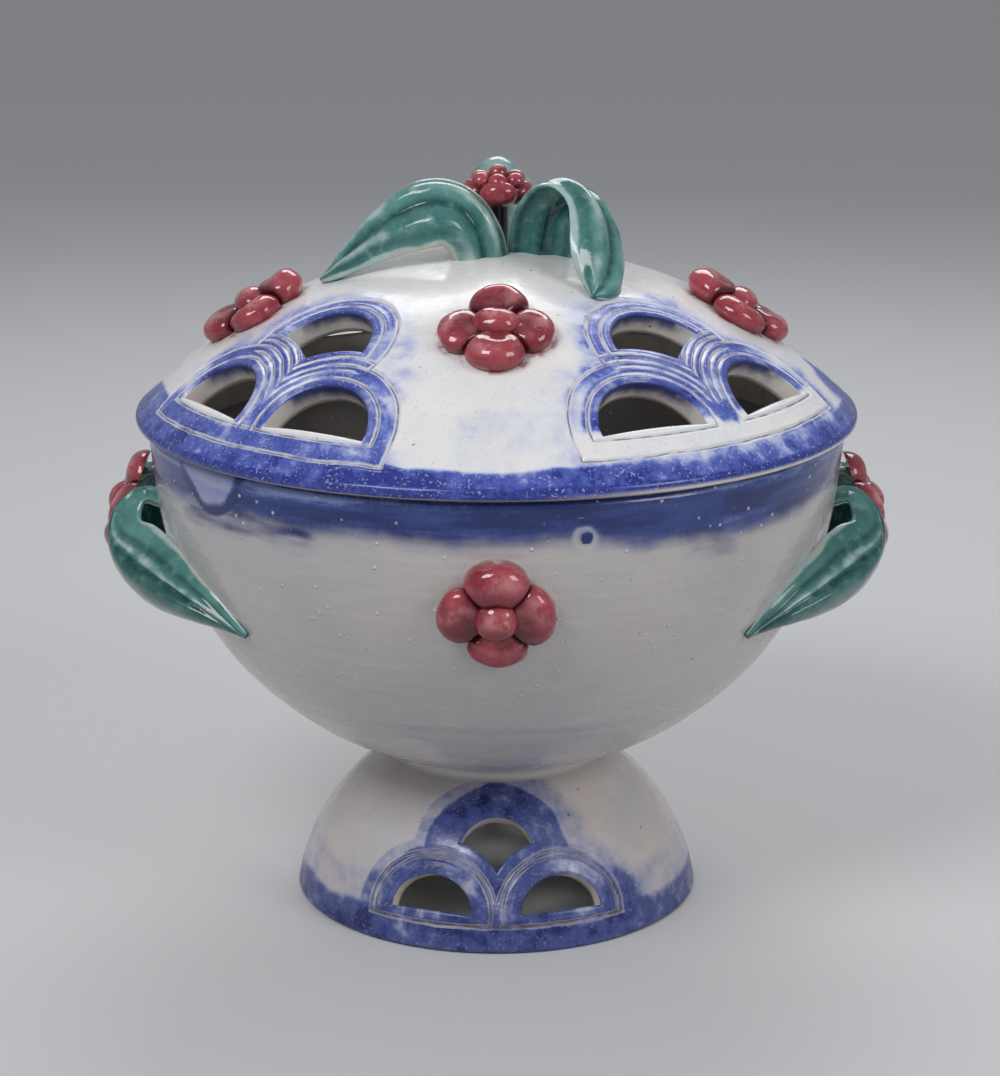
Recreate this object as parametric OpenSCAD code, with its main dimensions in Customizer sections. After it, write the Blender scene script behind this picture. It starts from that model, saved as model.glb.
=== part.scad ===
// Potpourri vase: a round lidded bowl on a domed foot, pierced for scent, with applied flowers and leaves.
// Millimetres. Z is up, the origin is the middle of the foot's underside, and the front faces -Y.

/* [Foot] */
// Diameter of the foot where it stands
foot_d = 138.8; // [125:0.2:150]
// Radius of the foot's domed outside, as a share of half its diameter
foot_dome_share = 1.013; // [1.006:0.001:1.12]
// Wall of the foot
foot_wall = 7.5; // [5:0.5:10]

/* [Bowl] */
// Depth by which the bowl sits in the foot's crown
bowl_sink = 11.6; // [8.5:0.1:16]
// Radius of the belly in side view, as a share of half the bowl's diameter
bowl_belly_share = 0.948; // [0.92:0.001:0.97]
// Wall of the bowl
bowl_wall = 7.5; // [5:0.5:9]
// Depth of the flat pressed into the underside and the floor
bowl_flat = 0.7; // [0.4:0.1:1.5]
// How far the rolled rim stands out beyond the belly
rim_proud = 1.4; // [0.6:0.1:2]
// Radius of the rolled rim
rim_round = 4.6; // [4.2:0.1:5]
// Height of the rim above the widest part of the belly
rim_rise = 9.7; // [7:0.1:12]
// Height cut off the top of the rolled rim to seat the lid
seat_cut = 0.8; // [0.4:0.1:1.4]

/* [Lid] */
// Diameter of the lid over its edge
lid_d = 240.6; // [237:0.2:244]
// How far the lid overhangs the rolled rim
lid_overhang = 3.8; // [2.6:0.1:5]
// Radius of the lid's domed outside, as a share of half its diameter
lid_dome_share = 1.371; // [1.3:0.001:1.45]
// Wall of the lid
lid_wall = 7.5; // [6:0.5:9]
// Radius of the lid's rounded edge
lid_edge_round = 2.5; // [2:0.1:3.2]
// How far the edge's round stands proud of the dome
lid_edge_proud = 0.15; // [0.1:0.05:0.3]
// Depth of the ring under the lid that keeps it centred
flange_depth = 7.8; // [5:0.1:10]
// Wall of that ring
flange_wall = 3.2; // [2.5:0.1:4]
// Gap between that ring and the bowl's mouth
flange_gap = 1.4; // [0.8:0.1:2]

/* [Pierced groups] */
// Number of groups round the lid
lid_groups = 4; // [3:1:4]
// Turn of the front right group towards the front
lid_group_turn = 2.8; // [0:0.1:4]
// How much wider apart its lower pair is, as a share of the dome's radius
lid_group_wider = 0.0133; // [0:0.0001:0.015]
// How much higher its lower pair's sill is, as an angle
lid_group_higher = 0.9; // [0:0.1:1.2]
// Radius of the openings in the lid, as a share of the dome's radius
lid_hole_share = 0.1116; // [0.095:0.0001:0.115]
// Distance of the lower pair from the middle of a lid group, as a share of the dome's radius
lid_pair_share = 0.1504; // [0.134:0.0001:0.157]
// Height of the lower pair's sill, as an angle from the lid's crown
lid_sill_angle = 40.7; // [39:0.1:41]
// Height of the upper opening's middle, as an angle from the lid's crown
lid_top_angle = 29; // [28:0.1:30]
// Radius of the arches that bound the upper opening from below, as a share of the dome's radius
lid_arch_share = 0.2232; // [0.213:0.0001:0.236]
// Number of groups round the foot
foot_groups = 2; // [2:1:3]
// Radius of the lower openings in the foot, as a share of the dome's radius
foot_hole_share = 0.199; // [0.158:0.001:0.206]
// Share of that radius that the lower openings rise
foot_hole_rise = 0.84; // [0.7:0.02:0.9]
// Distance of the lower pair from the middle of a foot group, as a share of the dome's radius
foot_pair_share = 0.313; // [0.285:0.001:0.34]
// Height of the lower pair's sill, as an angle from the foot's crown
foot_sill_angle = 70; // [69:0.5:71]
// Radius of the upper opening in the foot, as a share of the dome's radius
foot_top_share = 0.1764; // [0.143:0.0001:0.185]
// Height of the upper opening's middle, as an angle from the foot's crown
foot_top_angle = 53.5; // [52:0.5:54.5]
// Radius of the arches that bound the upper opening of the foot from below, as a share of the dome's radius
foot_arch_share = 0.367; // [0.356:0.001:0.398]

/* [Flowers] */
// Petals of each flower
petal_count = 4; // [4:1:5]
// Length of a petal across the flower
petal_l = 18.8; // [16:0.1:20]
// Thickness of a petal's roll
petal_t = 14.4; // [12:0.1:15]
// Distance of a petal's middle from the flower's middle
petal_reach = 10.6; // [9.5:0.1:11.5]
// Height of a petal's middle above the clay it is pressed on
petal_lift = 1.6; // [0.8:0.1:2.5]
// Diameter of the bead in the middle of a flower
bead_d = 12.8; // [11:0.1:14]
// Height of the bead's middle above the clay
bead_lift = 4.6; // [3.5:0.1:5.5]
// Angle of the lid's side and back flowers from the crown
lid_flower_angle = 28.7; // [28:0.1:30]
// Turn of the lid's side flowers towards the front
lid_flower_turn = 3; // [0:0.5:5]
// Angle of the lid's front flower from the crown
lid_front_angle = 24.7; // [23:0.1:28]
// Distance of the bowl's flowers below the rim
bowl_flower_drop = 36.3; // [30:0.1:42]

/* [Leaves] */
// Thickness of a leaf in its middle
leaf_t = 4.6; // [3.5:0.1:5.2]
// Thickness left at a leaf's edges, as a share
leaf_edge = 0.45; // [0.35:0.05:0.7]
// Height of a leaf's two long ridges, as a share of its width
leaf_ridge = 0.09; // [0.03:0.01:0.12]
// Roundness of the fold along a leaf, as a share of its half width
fold_round = 0.11; // [0.08:0.01:0.15]
// Steps along a leaf
leaf_steps = 20; // [16:1:26]
// Points across each face of a leaf
leaf_points = 9; // [7:2:11]
// Width of the knob's leaves at their widest
knob_leaf_w = 24; // [20:0.5:25]
// Reach of the knob's longest leaf from the lid's axis
knob_reach = 58.5; // [54:0.5:62]
// Rise of the knob's leaves above the lid
knob_rise = 23.5; // [20:0.5:25]
// Width of the handles' leaves at their widest
handle_leaf_w = 28; // [24:0.5:29]
// Distance of the handles' leaf tips below the rim
handle_drop = 56.8; // [52:0.1:61]
// Place of the handles' flowers down that distance, as a share
handle_flower_share = 0.542; // [0.51:0.001:0.56]
// How far the handles' leaves stand off the bowl
handle_stand = 12.5; // [11:0.5:13]
// Angle by which the handles' flowers are tipped up
handle_flower_tip = 21; // [17:0.5:23]
// Depth by which the handles' flowers are pressed flatter than the others
handle_flower_sink = 2.4; // [1.5:0.1:3]

/* [Knob flower] */
// Diameter of the stalk that carries the knob's flower
stalk_d = 6.8; // [6:0.2:7]
// Height of the stalk above the ring of berries' underside
stalk_top = 2.4; // [2:0.1:3.5]
// Size of the knob's petals beside those of the other flowers
knob_petal_share = 0.64; // [0.6:0.01:0.68]
// Height of the knob's petals' middle below the berries
knob_petal_drop = 1; // [0.5:0.1:1.5]
// Diameter of a berry
berry_d = 6; // [5.4:0.1:6.4]
// Berries in the ring round the topmost one
berry_count = 6; // [5:1:6]

/* [Joints] */
// Film of slip left between pieces pressed together
slip = 0.12; // [0.08:0.02:0.3]
// Gap between neighbouring petals
petal_gap = 0.3; // [0.2:0.05:0.5]

/* [Hidden] */
$fn = 96;
tall = 400;
foot_dome_r = foot_d / 2 * foot_dome_share;
foot_cz = -sqrt(pow(foot_dome_r, 2) - pow(foot_d / 2, 2));
foot_in_r = foot_dome_r - foot_wall;
rim_d = lid_d - 2 * lid_overhang;
bowl_d = rim_d - 2 * rim_proud;
bowl_arc_r = bowl_d / 2 * bowl_belly_share;
bowl_base_z = foot_cz + foot_dome_r - bowl_sink;
bowl_c = bowl_d / 2 - bowl_arc_r;
bowl_cz = bowl_base_z + bowl_arc_r;
bowl_in_r = bowl_arc_r - bowl_wall;
rim_z = bowl_cz + rim_rise;
rim_c = rim_d / 2 - rim_round;
rim_cz = rim_z - rim_round + seat_cut;
mouth_r = min(rim_c - rim_round, bowl_c + sqrt(pow(bowl_in_r, 2) - pow(rim_cz - bowl_cz, 2)));
flange_r = mouth_r - flange_gap;
cavity_r = flange_r - flange_wall;
lid_dome_r = lid_d / 2 * lid_dome_share;
edge_c = lid_d / 2 - lid_edge_round;
edge_cz = rim_z + lid_edge_round - lid_edge_proud;
lid_cz = edge_cz - sqrt(pow(lid_dome_r - lid_edge_round + lid_edge_proud, 2) - pow(edge_c, 2));
lid_in_r = lid_dome_r - lid_wall;
crown_z = lid_cz + lid_dome_r;
head_x = 0.0085 * knob_reach;
head_y = 0.137 * knob_reach;
head_z = crown_z + 0.81 * knob_rise;
bowl_flower_z = rim_z - bowl_flower_drop;
handle_flower_z = rim_z - handle_flower_share * handle_drop;
berry_ring = stalk_d / 2 + berry_d / 2 + slip;

// Outside radius of the bowl at a height
function bowl_r(z) = bowl_c + sqrt(pow(bowl_arc_r, 2) - pow(z - bowl_cz, 2));
// Height of the lid's outside at a place seen from above
function lid_z(x, y) = lid_cz + sqrt(pow(lid_dome_r, 2) - x * x - y * y);
function unit(v) = v / norm(v);

// Upright sections
module bowl_mass_2d(grow = 0) {
  intersection() {
    translate([bowl_c, bowl_cz]) circle(r = bowl_arc_r + grow);
    translate([0, bowl_base_z + bowl_flat - grow]) square([tall, rim_cz - bowl_base_z - bowl_flat + grow]);
  }
}

module bowl_2d() {
  difference() {
    union() {
      bowl_mass_2d();
      translate([rim_c, rim_cz]) circle(r = rim_round);
    }
    intersection() {
      translate([bowl_c, bowl_cz]) circle(r = bowl_in_r);
      translate([0, bowl_cz - bowl_in_r + bowl_flat]) square([tall, bowl_in_r - bowl_flat + rim_cz - bowl_cz]);
    }
    translate([0, rim_z]) square([tall, tall]);
  }
}

module foot_2d() {
  intersection() {
    difference() {
      translate([0, foot_cz]) circle(r = foot_dome_r);
      translate([0, foot_cz]) circle(r = foot_in_r);
      bowl_mass_2d(slip);
    }
    square([tall, bowl_base_z + foot_dome_r]);
  }
}

module lid_2d() {
  difference() {
    union() {
      intersection() {
        translate([0, lid_cz]) circle(r = lid_dome_r);
        translate([0, rim_z]) square([edge_c + lid_edge_round / 2, tall]);
      }
      intersection() {
        translate([edge_c, edge_cz]) circle(r = lid_edge_round);
        translate([0, rim_z]) square([tall, tall]);
      }
      translate([0, rim_z - flange_depth]) square([flange_r, flange_depth + 1]);
    }
    intersection() {
      translate([0, lid_cz]) circle(r = lid_in_r);
      square([cavity_r, tall]);
    }
  }
}

// A place on a dome: local Z leaves the clay, local X runs down the slope
module on_dome(dome_r, dome_z, angle, turn) {
  translate([0, 0, dome_z]) rotate([0, 0, turn]) rotate([0, angle, 0]) translate([0, 0, dome_r]) children();
}

// A place on the bowl's belly, with local X running down the wall
module on_bowl(z, turn) {
  drop = asin((bowl_cz - z) / bowl_arc_r);
  rotate([0, 0, turn]) translate([bowl_c, 0, bowl_cz]) rotate([0, 90 + drop, 0]) translate([0, 0, bowl_arc_r])
    children();
}

// Openings
module arch_2d(r, rise) {
  translate([r * rise / 2, 0]) intersection() {
    scale([rise, 1]) circle(r = r);
    translate([-2 * r, -2 * r]) square([2 * r, 4 * r]);
  }
}

module crown_2d(r, arch_r, down, half) {
  difference() {
    circle(r = r);
    for (s = [-1, 1]) translate([down, s * half]) circle(r = arch_r);
    translate([down, -half]) square([tall, 2 * half]);
  }
}

module cut(depth) {
  translate([0, 0, -depth - 3]) linear_extrude(height = depth + 9) children();
}

// Sizes in a group are shares of the dome's radius
module pierced_group(dome_r, dome_z, wall, turn, hole, rise, half, sill, top_hole, top, arch) {
  mid = sill - hole * rise / 2 * 180 / PI;
  aside = asin(half / sin(sill));
  down = dome_r * sin(sill - top);
  for (s = [-1, 1]) on_dome(dome_r, dome_z, mid, turn + s * aside) cut(wall) arch_2d(hole * dome_r, rise);
  on_dome(dome_r, dome_z, top, turn) cut(wall)
    crown_2d(top_hole * dome_r, arch * dome_r, down, half * dome_r);
}

module foot() {
  color("White") difference() {
    rotate_extrude() foot_2d();
    for (i = [0:foot_groups - 1])
      pierced_group(foot_dome_r, foot_cz, foot_wall, -90 + i * 360 / foot_groups, foot_hole_share, foot_hole_rise,
        foot_pair_share, foot_sill_angle, foot_top_share, foot_top_angle, foot_arch_share);
  }
}

module bowl() {
  color("Gainsboro") rotate_extrude() bowl_2d();
}

module lid() {
  color("WhiteSmoke") difference() {
    rotate_extrude() lid_2d();
    for (i = [0:lid_groups - 1]) let (own = i == 0 ? 1 : 0)
      pierced_group(lid_dome_r, lid_cz, lid_wall, -90 + (i + 0.5) * 360 / lid_groups - own * lid_group_turn,
        lid_hole_share, 1, lid_pair_share + own * lid_group_wider, lid_sill_angle - own * lid_group_higher,
        lid_hole_share, lid_top_angle, lid_arch_share);
  }
}

// A petal lies across local X; its ends are pressed flat against its neighbours
module petal(reach, l, t, lift) {
  wedge = 180 / petal_count;
  intersection() {
    translate([reach, 0, lift]) rotate([90, 0, 0]) rotate_extrude() intersection() {
      scale([t / l, 1]) circle(d = l);
      translate([0, -l]) square([tall, 2 * l]);
    }
    linear_extrude(height = 2 * tall, center = true) polygon([
      [petal_gap, 0],
      [petal_gap + tall * cos(wedge), tall * sin(wedge) - petal_gap],
      [petal_gap + tall * cos(wedge), -tall * sin(wedge) + petal_gap]
    ]);
  }
}

module petals() {
  color("Crimson") difference() {
    for (i = [0:petal_count - 1]) rotate([0, 0, i * 360 / petal_count])
      petal(petal_reach, petal_l, petal_t, petal_lift);
    translate([0, 0, bead_lift]) sphere(d = bead_d + 2 * slip);
  }
}

module bead() {
  color("Crimson") translate([0, 0, bead_lift]) sphere(d = bead_d);
}

module on_lid(turn) {
  on_dome(lid_dome_r, lid_cz, turn == -90 ? lid_front_angle : lid_flower_angle, turn) children();
}

module lid_mass() {
  translate([0, 0, lid_cz]) sphere(r = lid_dome_r + slip, $fn = 360);
}

module lid_petals(turn) {
  difference() {
    on_lid(turn) petals();
    lid_mass();
  }
}

module lid_bead(turn) {
  difference() {
    on_lid(turn) bead();
    lid_mass();
  }
}

module bowl_mass() {
  rotate_extrude($fn = 360) bowl_mass_2d(slip);
}

module bowl_petals(turn) {
  difference() {
    on_bowl(bowl_flower_z, turn) petals();
    bowl_mass();
  }
}

module bowl_bead(turn) {
  difference() {
    on_bowl(bowl_flower_z, turn) bead();
    bowl_mass();
  }
}

// Leaves are swept along rows of [x, y, z, outward x, outward y, outward z, width, cup, fold]
function between(a, b, c, d, t) =
  0.5 * (2 * b + (c - a) * t + (2 * a - 5 * b + 4 * c - d) * t * t + (3 * b - a - 3 * c + d) * t * t * t);
function row_at(rows, s) =
  let (n = len(rows) - 1, i = min(floor(s), n - 1), b = rows[i], c = rows[i + 1])
  between(i > 0 ? rows[i - 1] : 2 * b - c, b, c, i < n - 1 ? rows[i + 2] : 2 * c - b, s - i);
function head3(v) = [v[0], v[1], v[2]];
function out3(v) = [v[3], v[4], v[5]];
function leaf_rise(u, v, ridge) =
  v[6] * (ridge * pow(sin(180 * u), 2) - v[7] * u * u - v[8] * (sqrt(u * u + pow(fold_round, 2)) - fold_round));
function leaf_half(u) = leaf_t / 2 * (1 - (1 - leaf_edge) * pow(abs(u), 3));
function leaf_ring(rows, s, ridge) =
  let (
    n = len(rows) - 1,
    v = row_at(rows, s),
    along = unit(head3(row_at(rows, min(s + 0.05, n))) - head3(row_at(rows, max(s - 0.05, 0)))),
    across = unit(cross(out3(v), along)),
    up = cross(along, across),
    m = leaf_points - 1,
    us = [for (j = [0:m]) -1 + 2 * j / m]
  ) [
    for (u = us) head3(v) + across * u * v[6] / 2 + up * (leaf_rise(u, v, ridge) + leaf_half(u)),
    for (j = [m:-1:0]) head3(v) + across * us[j] * v[6] / 2
      + up * (leaf_rise(us[j], v, ridge) - leaf_half(us[j]))
  ];

module leaf(rows, ridge) {
  n = 2 * leaf_points;
  k = leaf_steps;
  points = [for (i = [0:k]) each leaf_ring(rows, i / k * (len(rows) - 1), ridge)];
  sides = [
    for (i = [0:k - 1], j = [0:n - 1])
      let (a = i * n + j, b = i * n + (j + 1) % n) each [[a, b, b + n], [a, b + n, a + n]]
  ];
  caps = [
    for (j = [0:leaf_points - 2]) let (p = n - 1 - j, q = k * n) each [
      [j + 1, j, p], [j + 1, p, p - 1],
      [q + j, q + j + 1, q + p], [q + j + 1, q + p - 1, q + p]
    ]
  ];
  color("Teal") polyhedron(points = points, faces = concat(sides, caps), convexity = 8);
}

// Knob leaves rest on the lid: rows of [x and y as shares of the reach, share of the rise, outward,
// share of the width, cup, fold]
function knob_rows(rows) = [
  for (v = rows) let (x = v[0] * knob_reach, y = v[1] * knob_reach)
    [x, y, lid_z(x, y) + v[2] * knob_rise, v[3], v[4], v[5], v[6] * knob_leaf_w, v[7], v[8]]
];
knob_left = knob_rows([
  [-0.0735, -0.1675, -0.3, 0.25, -1, 0.25, 0.78, 0.05, 0],
  [-0.106, -0.1932, 0.4, 0.35, -0.85, 0.45, 0.82, 0.06, 0],
  [-0.2906, -0.1966, 0.8, 0.1, -0.8, 0.65, 0.96, 0.08, 0],
  [-0.5299, -0.1795, 0.71, -0.35, -0.8, 0.65, 0.95, 0.1, 0],
  [-0.7607, -0.1282, 0.36, -0.5, -0.6, 0.8, 0.66, 0.12, 0],
  [-0.8974, -0.094, 0.12, -0.4, -0.25, 0.9, 0.42, 0.1, 0],
  [-0.9829, -0.0684, 0.03, -0.35, 0, 0.9, 0.12, 0, 0]
]);
knob_right = knob_rows([
  [0.2427, -0.0598, -0.2, 0, 1, 0.2, 0.9, 0, 0],
  [0.2564, -0.0513, 0.43, 0.05, 0.95, 0.3, 0.88, 0.03, 0],
  [0.3214, -0.0684, 0.85, 0.05, 0.75, 0.75, 0.8, 0.04, 0],
  [0.441, -0.1368, 0.99, 0.35, 0.15, 0.95, 0.78, 0.1, 0],
  [0.5556, -0.2906, 0.86, 0.78, -0.2, 0.6, 0.9, 0.14, 0.05],
  [0.612, -0.4786, 0.5, 0.78, -0.5, 0.4, 1.04, 0.14, 0.12],
  [0.5846, -0.641, 0.16, 0.5, -0.7, 0.6, 0.74, 0.1, 0.1],
  [0.5299, -0.7436, 0.04, 0.2, -0.5, 0.9, 0.12, 0, 0]
]);
knob_back = knob_rows([
  [0.0085, 0.3282, -0.12, 0, -1, 0.2, 0.5, 0, 0],
  [0.0085, 0.3641, 0.55, 0, -0.9, 0.4, 0.75, 0.05, 0.03],
  [0.0085, 0.4718, 1.17, 0, -0.35, 1, 0.95, 0.1, 0.08],
  [0.0085, 0.6462, 1.18, 0, 0.35, 1, 0.95, 0.12, 0.1],
  [0, 0.7949, 0.62, 0, 0.7, 0.7, 0.8, 0.1, 0.06],
  [-0.0171, 0.906, 0.16, 0, 0.5, 0.9, 0.45, 0.05, 0],
  [-0.0342, 0.9915, 0.035, 0, 0.35, 0.9, 0.1, 0, 0]
]);

module knob_leaf(rows, ridge) {
  difference() {
    leaf(rows, ridge);
    lid_mass();
  }
}

// Handle leaves rest on the bowl: rows of [turn from the side, share of the stand, share of the drop below the rim,
// outward, share of the width, cup, fold]
function handle_rows(rows) = [
  for (v = rows) let (z = rim_z - v[2] * handle_drop, r = bowl_r(z) + v[1] * handle_stand)
    [r * cos(v[0]), -r * sin(v[0]), z, v[3], v[4], v[5], v[6] * handle_leaf_w, v[7], v[8]]
];
handle_row = handle_rows([
  [8.5, -0.1, 0.4454, 0.1, -0.05, 1, 0.4286, 0, 0],
  [8.5, 0.38, 0.4014, 0.5, -0.2, 0.9, 0.4643, 0, 0.02],
  [9.3, 0.85, 0.4754, 0.8, -0.5, 0.35, 0.5536, 0, 0.12],
  [12, 1.34, 0.6039, 0.72, -0.68, 0.12, 0.7143, 0, 0.27],
  [18.5, 1.3, 0.7447, 0.66, -0.74, 0.05, 1, 0, 0.36],
  [28.5, 0.68, 0.8415, 0.62, -0.72, 0, 0.6964, 0, 0.32],
  [36.2, 0.16, 0.9296, 0.66, -0.68, -0.2, 0.3571, 0, 0.15],
  [41, 0.05, 1, 0.68, -0.62, -0.4, 0.0857, 0, 0]
]);

module handle_leaf(front) {
  mirror([0, front ? 0 : 1, 0]) difference() {
    leaf(handle_row, -leaf_ridge / 5);
    bowl_mass();
    on_handle() translate([0, 0, -slip]) cylinder(r = petal_reach + petal_t / 2 + 1, h = tall);
  }
}

// Handle flowers lie on the leaves, tipped up
module on_handle() {
  translate([bowl_r(handle_flower_z) + 0.65 * handle_stand + leaf_t / 2, 0, handle_flower_z])
    rotate([0, 90 - handle_flower_tip, 0]) children();
}

module above() {
  intersection() {
    translate([0, 0, -handle_flower_sink]) children();
    translate([-tall / 2, -tall / 2, 0]) cube(tall);
  }
}

module sided(left) {
  mirror([left ? 1 : 0, 0, 0]) children();
}

// Knob flower
module at_head() {
  translate([head_x, head_y, head_z]) children();
}

module knob_stalk() {
  color("Crimson") difference() {
    translate([head_x, head_y, crown_z - 4]) cylinder(d = stalk_d, h = head_z + stalk_top - crown_z + 4);
    lid_mass();
  }
}

module knob_petals() {
  color("Crimson") at_head() difference() {
    for (i = [0:petal_count - 1]) rotate([0, 0, i * 360 / petal_count - 90])
      petal(petal_reach * knob_petal_share, petal_l * knob_petal_share, petal_t * knob_petal_share, -knob_petal_drop);
    translate([0, 0, -tall / 2]) cylinder(d = stalk_d + 2 * slip, h = tall);
    translate([0, 0, -slip]) cylinder(r = berry_ring + berry_d / 2 + slip, h = tall);
  }
}

// The head's height is where the ring of berries rests on the petals
module knob_berries() {
  color("Crimson") at_head() {
    translate([0, 0, stalk_top + slip + berry_d / 2]) sphere(d = berry_d);
    for (i = [0:berry_count - 1]) rotate([0, 0, (i + 0.5) * 360 / berry_count])
      translate([berry_ring, 0, berry_d / 2]) sphere(d = berry_d);
  }
}

foot();
bowl();
lid();
bowl_petals(-90);  // bowl_flower_front_petals
bowl_bead(-90);  // bowl_flower_front_bead
bowl_petals(90);  // bowl_flower_back_petals
bowl_bead(90);  // bowl_flower_back_bead
sided(true) handle_leaf(true);  // handle_left_leaf_front
sided(true) handle_leaf(false);  // handle_left_leaf_back
sided(true) on_handle() above() petals();  // handle_left_petals
sided(true) on_handle() above() bead();  // handle_left_bead
sided(false) handle_leaf(true);  // handle_right_leaf_front
sided(false) handle_leaf(false);  // handle_right_leaf_back
sided(false) on_handle() above() petals();  // handle_right_petals
sided(false) on_handle() above() bead();  // handle_right_bead
lid_petals(-90);  // lid_flower_front_petals
lid_bead(-90);  // lid_flower_front_bead
lid_petals(-lid_flower_turn);  // lid_flower_right_petals
lid_bead(-lid_flower_turn);  // lid_flower_right_bead
lid_petals(90);  // lid_flower_back_petals
lid_bead(90);  // lid_flower_back_bead
lid_petals(180 + lid_flower_turn);  // lid_flower_left_petals
lid_bead(180 + lid_flower_turn);  // lid_flower_left_bead
knob_leaf(knob_left, leaf_ridge);  // knob_leaf_left
knob_leaf(knob_right, leaf_ridge);  // knob_leaf_right
knob_leaf(knob_back, 0);  // knob_leaf_back
knob_stalk();
knob_petals();
knob_berries();
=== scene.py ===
import math
from functools import reduce
import bpy
import numpy as np
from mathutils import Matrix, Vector
from mathutils.geometry import delaunay_2d_cdt


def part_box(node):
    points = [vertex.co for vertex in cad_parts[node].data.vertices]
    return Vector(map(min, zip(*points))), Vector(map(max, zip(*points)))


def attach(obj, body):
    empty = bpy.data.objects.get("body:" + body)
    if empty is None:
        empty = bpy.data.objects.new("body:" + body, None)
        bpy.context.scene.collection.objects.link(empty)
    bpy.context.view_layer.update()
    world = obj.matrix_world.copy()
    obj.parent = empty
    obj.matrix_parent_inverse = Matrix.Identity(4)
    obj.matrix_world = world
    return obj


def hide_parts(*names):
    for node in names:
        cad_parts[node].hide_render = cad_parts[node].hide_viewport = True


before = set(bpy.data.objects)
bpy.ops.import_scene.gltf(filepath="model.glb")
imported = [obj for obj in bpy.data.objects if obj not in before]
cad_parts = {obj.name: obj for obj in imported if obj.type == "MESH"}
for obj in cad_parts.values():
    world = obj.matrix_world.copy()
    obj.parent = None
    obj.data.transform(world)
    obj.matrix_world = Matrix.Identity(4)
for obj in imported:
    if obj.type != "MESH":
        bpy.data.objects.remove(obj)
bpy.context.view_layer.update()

MM = 0.001

# Driving dimensions in millimetres and degrees, as in the part's source
LID_R, LID_WALL, LID_EDGE, LID_CAVITY_R = 164.9, 7.5, 2.5, 102.7
BOWL_ARC, BOWL_D, BOWL_WALL, BOWL_DROP = 109.1, 230.2, 7.5, 9.7
RIM_D, RIM_R, RIM_DROP = 233.0, 4.6, 3.8
FOOT_R, FOOT_WALL, FOOT_TOP_R, FOOT_BORE_R = 70.3, 7.5, 33.2, 20.5
LEAF_T = 4.6
KNOB_LEAF_W, KNOB_RISE = 24.0, 23.5
HANDLE_STAND, HANDLE_TIP, HANDLE_SINK, HANDLE_FLOWER_Z = 12.5, 21.0, 2.4, 135.5
PETAL_L, PETAL_T, PETAL_REACH = 18.8, 14.4, 10.6
BEAD_D, BEAD_LIFT = 12.8, 4.6
BERRY_D, BERRY_RING = 6.0, 6.52
BOWL_FLOWER_Z = 130.0
HANDLE_WALL_Z = 136.0  # height of the wall behind the flower of a handle
INSET = 0.02  # how far flat faces stay inside the solids
FAR = 50.0  # a distance at which a mark has no effect


def node_box(name):
    lo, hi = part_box(name)
    return np.array(lo) / MM, np.array(hi) / MM


lid_low, lid_high = node_box("lid")
bowl_low, bowl_high = node_box("bowl")
CROWN_Z, LID_OUT, FLANGE_Z = lid_high[2], lid_high[0], lid_low[2]
LID_CZ = CROWN_Z - LID_R
RIM_Z, BASE_Z = bowl_high[2], bowl_low[2]
BOWL_C, BOWL_CZ = BOWL_D / 2 - BOWL_ARC, RIM_Z - BOWL_DROP
FOOT_OUT = node_box("foot")[1][0]
FOOT_CZ = -math.sqrt(FOOT_R ** 2 - FOOT_OUT ** 2)


# Noise and small helpers
def lattice(cell, seed):
    """A fixed number from -1 to 1 for each cell of a grid."""
    h = cell[..., 0] * 374761393 + cell[..., 1] * 668265263 + cell[..., 2] * 1274126177 + seed * 974634721
    h = h & 0xFFFFFFFF
    h = ((h ^ (h >> 13)) * 1274126177) & 0xFFFFFFFF
    return (h ^ (h >> 16)) / 2147483647.5 - 1.0


def noise(p, size, seed=0):
    """Smooth noise from -1 to 1, with features of the given size in millimetres."""
    q = np.asarray(p, float) / size
    cell = np.floor(q).astype(np.int64)
    f = q - cell
    f = f * f * f * (f * (f * 6 - 15) + 10)
    total = np.zeros(len(q))
    for corner in np.ndindex(2, 2, 2):
        weight = np.ones(len(q))
        for axis, far_side in enumerate(corner):
            weight = weight * (f[:, axis] if far_side else 1 - f[:, axis])
        total += weight * lattice(cell + np.array(corner), seed)
    return total


def layered(p, size, seed):
    """Three layers of noise, each half as large as the one before."""
    return sum(noise(p, size / 2 ** k, seed + 17 * k) / 2 ** k for k in range(3))


def smooth(a, b, x):
    """0 at a and 1 at b, with a soft start and end."""
    t = np.clip((x - a) / (b - a), 0, 1)
    return t * t * (3 - 2 * t)


def bell(x, width):
    return np.exp(-(x / width) ** 2)


def unit(v):
    return v / (np.linalg.norm(v, axis=-1, keepdims=True) + 1e-12)


def around(p):
    """Turn from the front in degrees, distance from the axis, and height."""
    return np.degrees(np.arctan2(p[:, 0], -p[:, 1])), np.hypot(p[:, 0], p[:, 1]), p[:, 2]


def on_line(x):
    """A single coordinate as points, for noise along a line."""
    return np.stack([x, 0 * x, 0 * x], -1)


# Meshes
def ring_grid(rows, columns):
    """Quads of a grid whose rows are closed rings."""
    i, j = np.meshgrid(np.arange(rows - 1), np.arange(columns), indexing="ij")
    near, far, step = i * columns, (i + 1) * columns, (j + 1) % columns
    return np.stack([near + j, near + step, far + step, far + j], -1).reshape(-1, 4)


def belt(ring, new):
    """Quads from one ring of vertices to the next."""
    return np.stack([ring, new, np.roll(new, -1), np.roll(ring, -1)], -1)


def fan(pole, ring):
    """Triangles from a pole to a ring."""
    return np.stack([np.full(len(ring), pole), ring, np.roll(ring, -1)], -1)


OTHER_WAY = [0, 3, 2, 1]
FAN_OTHER_WAY = [0, 2, 1]


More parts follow.
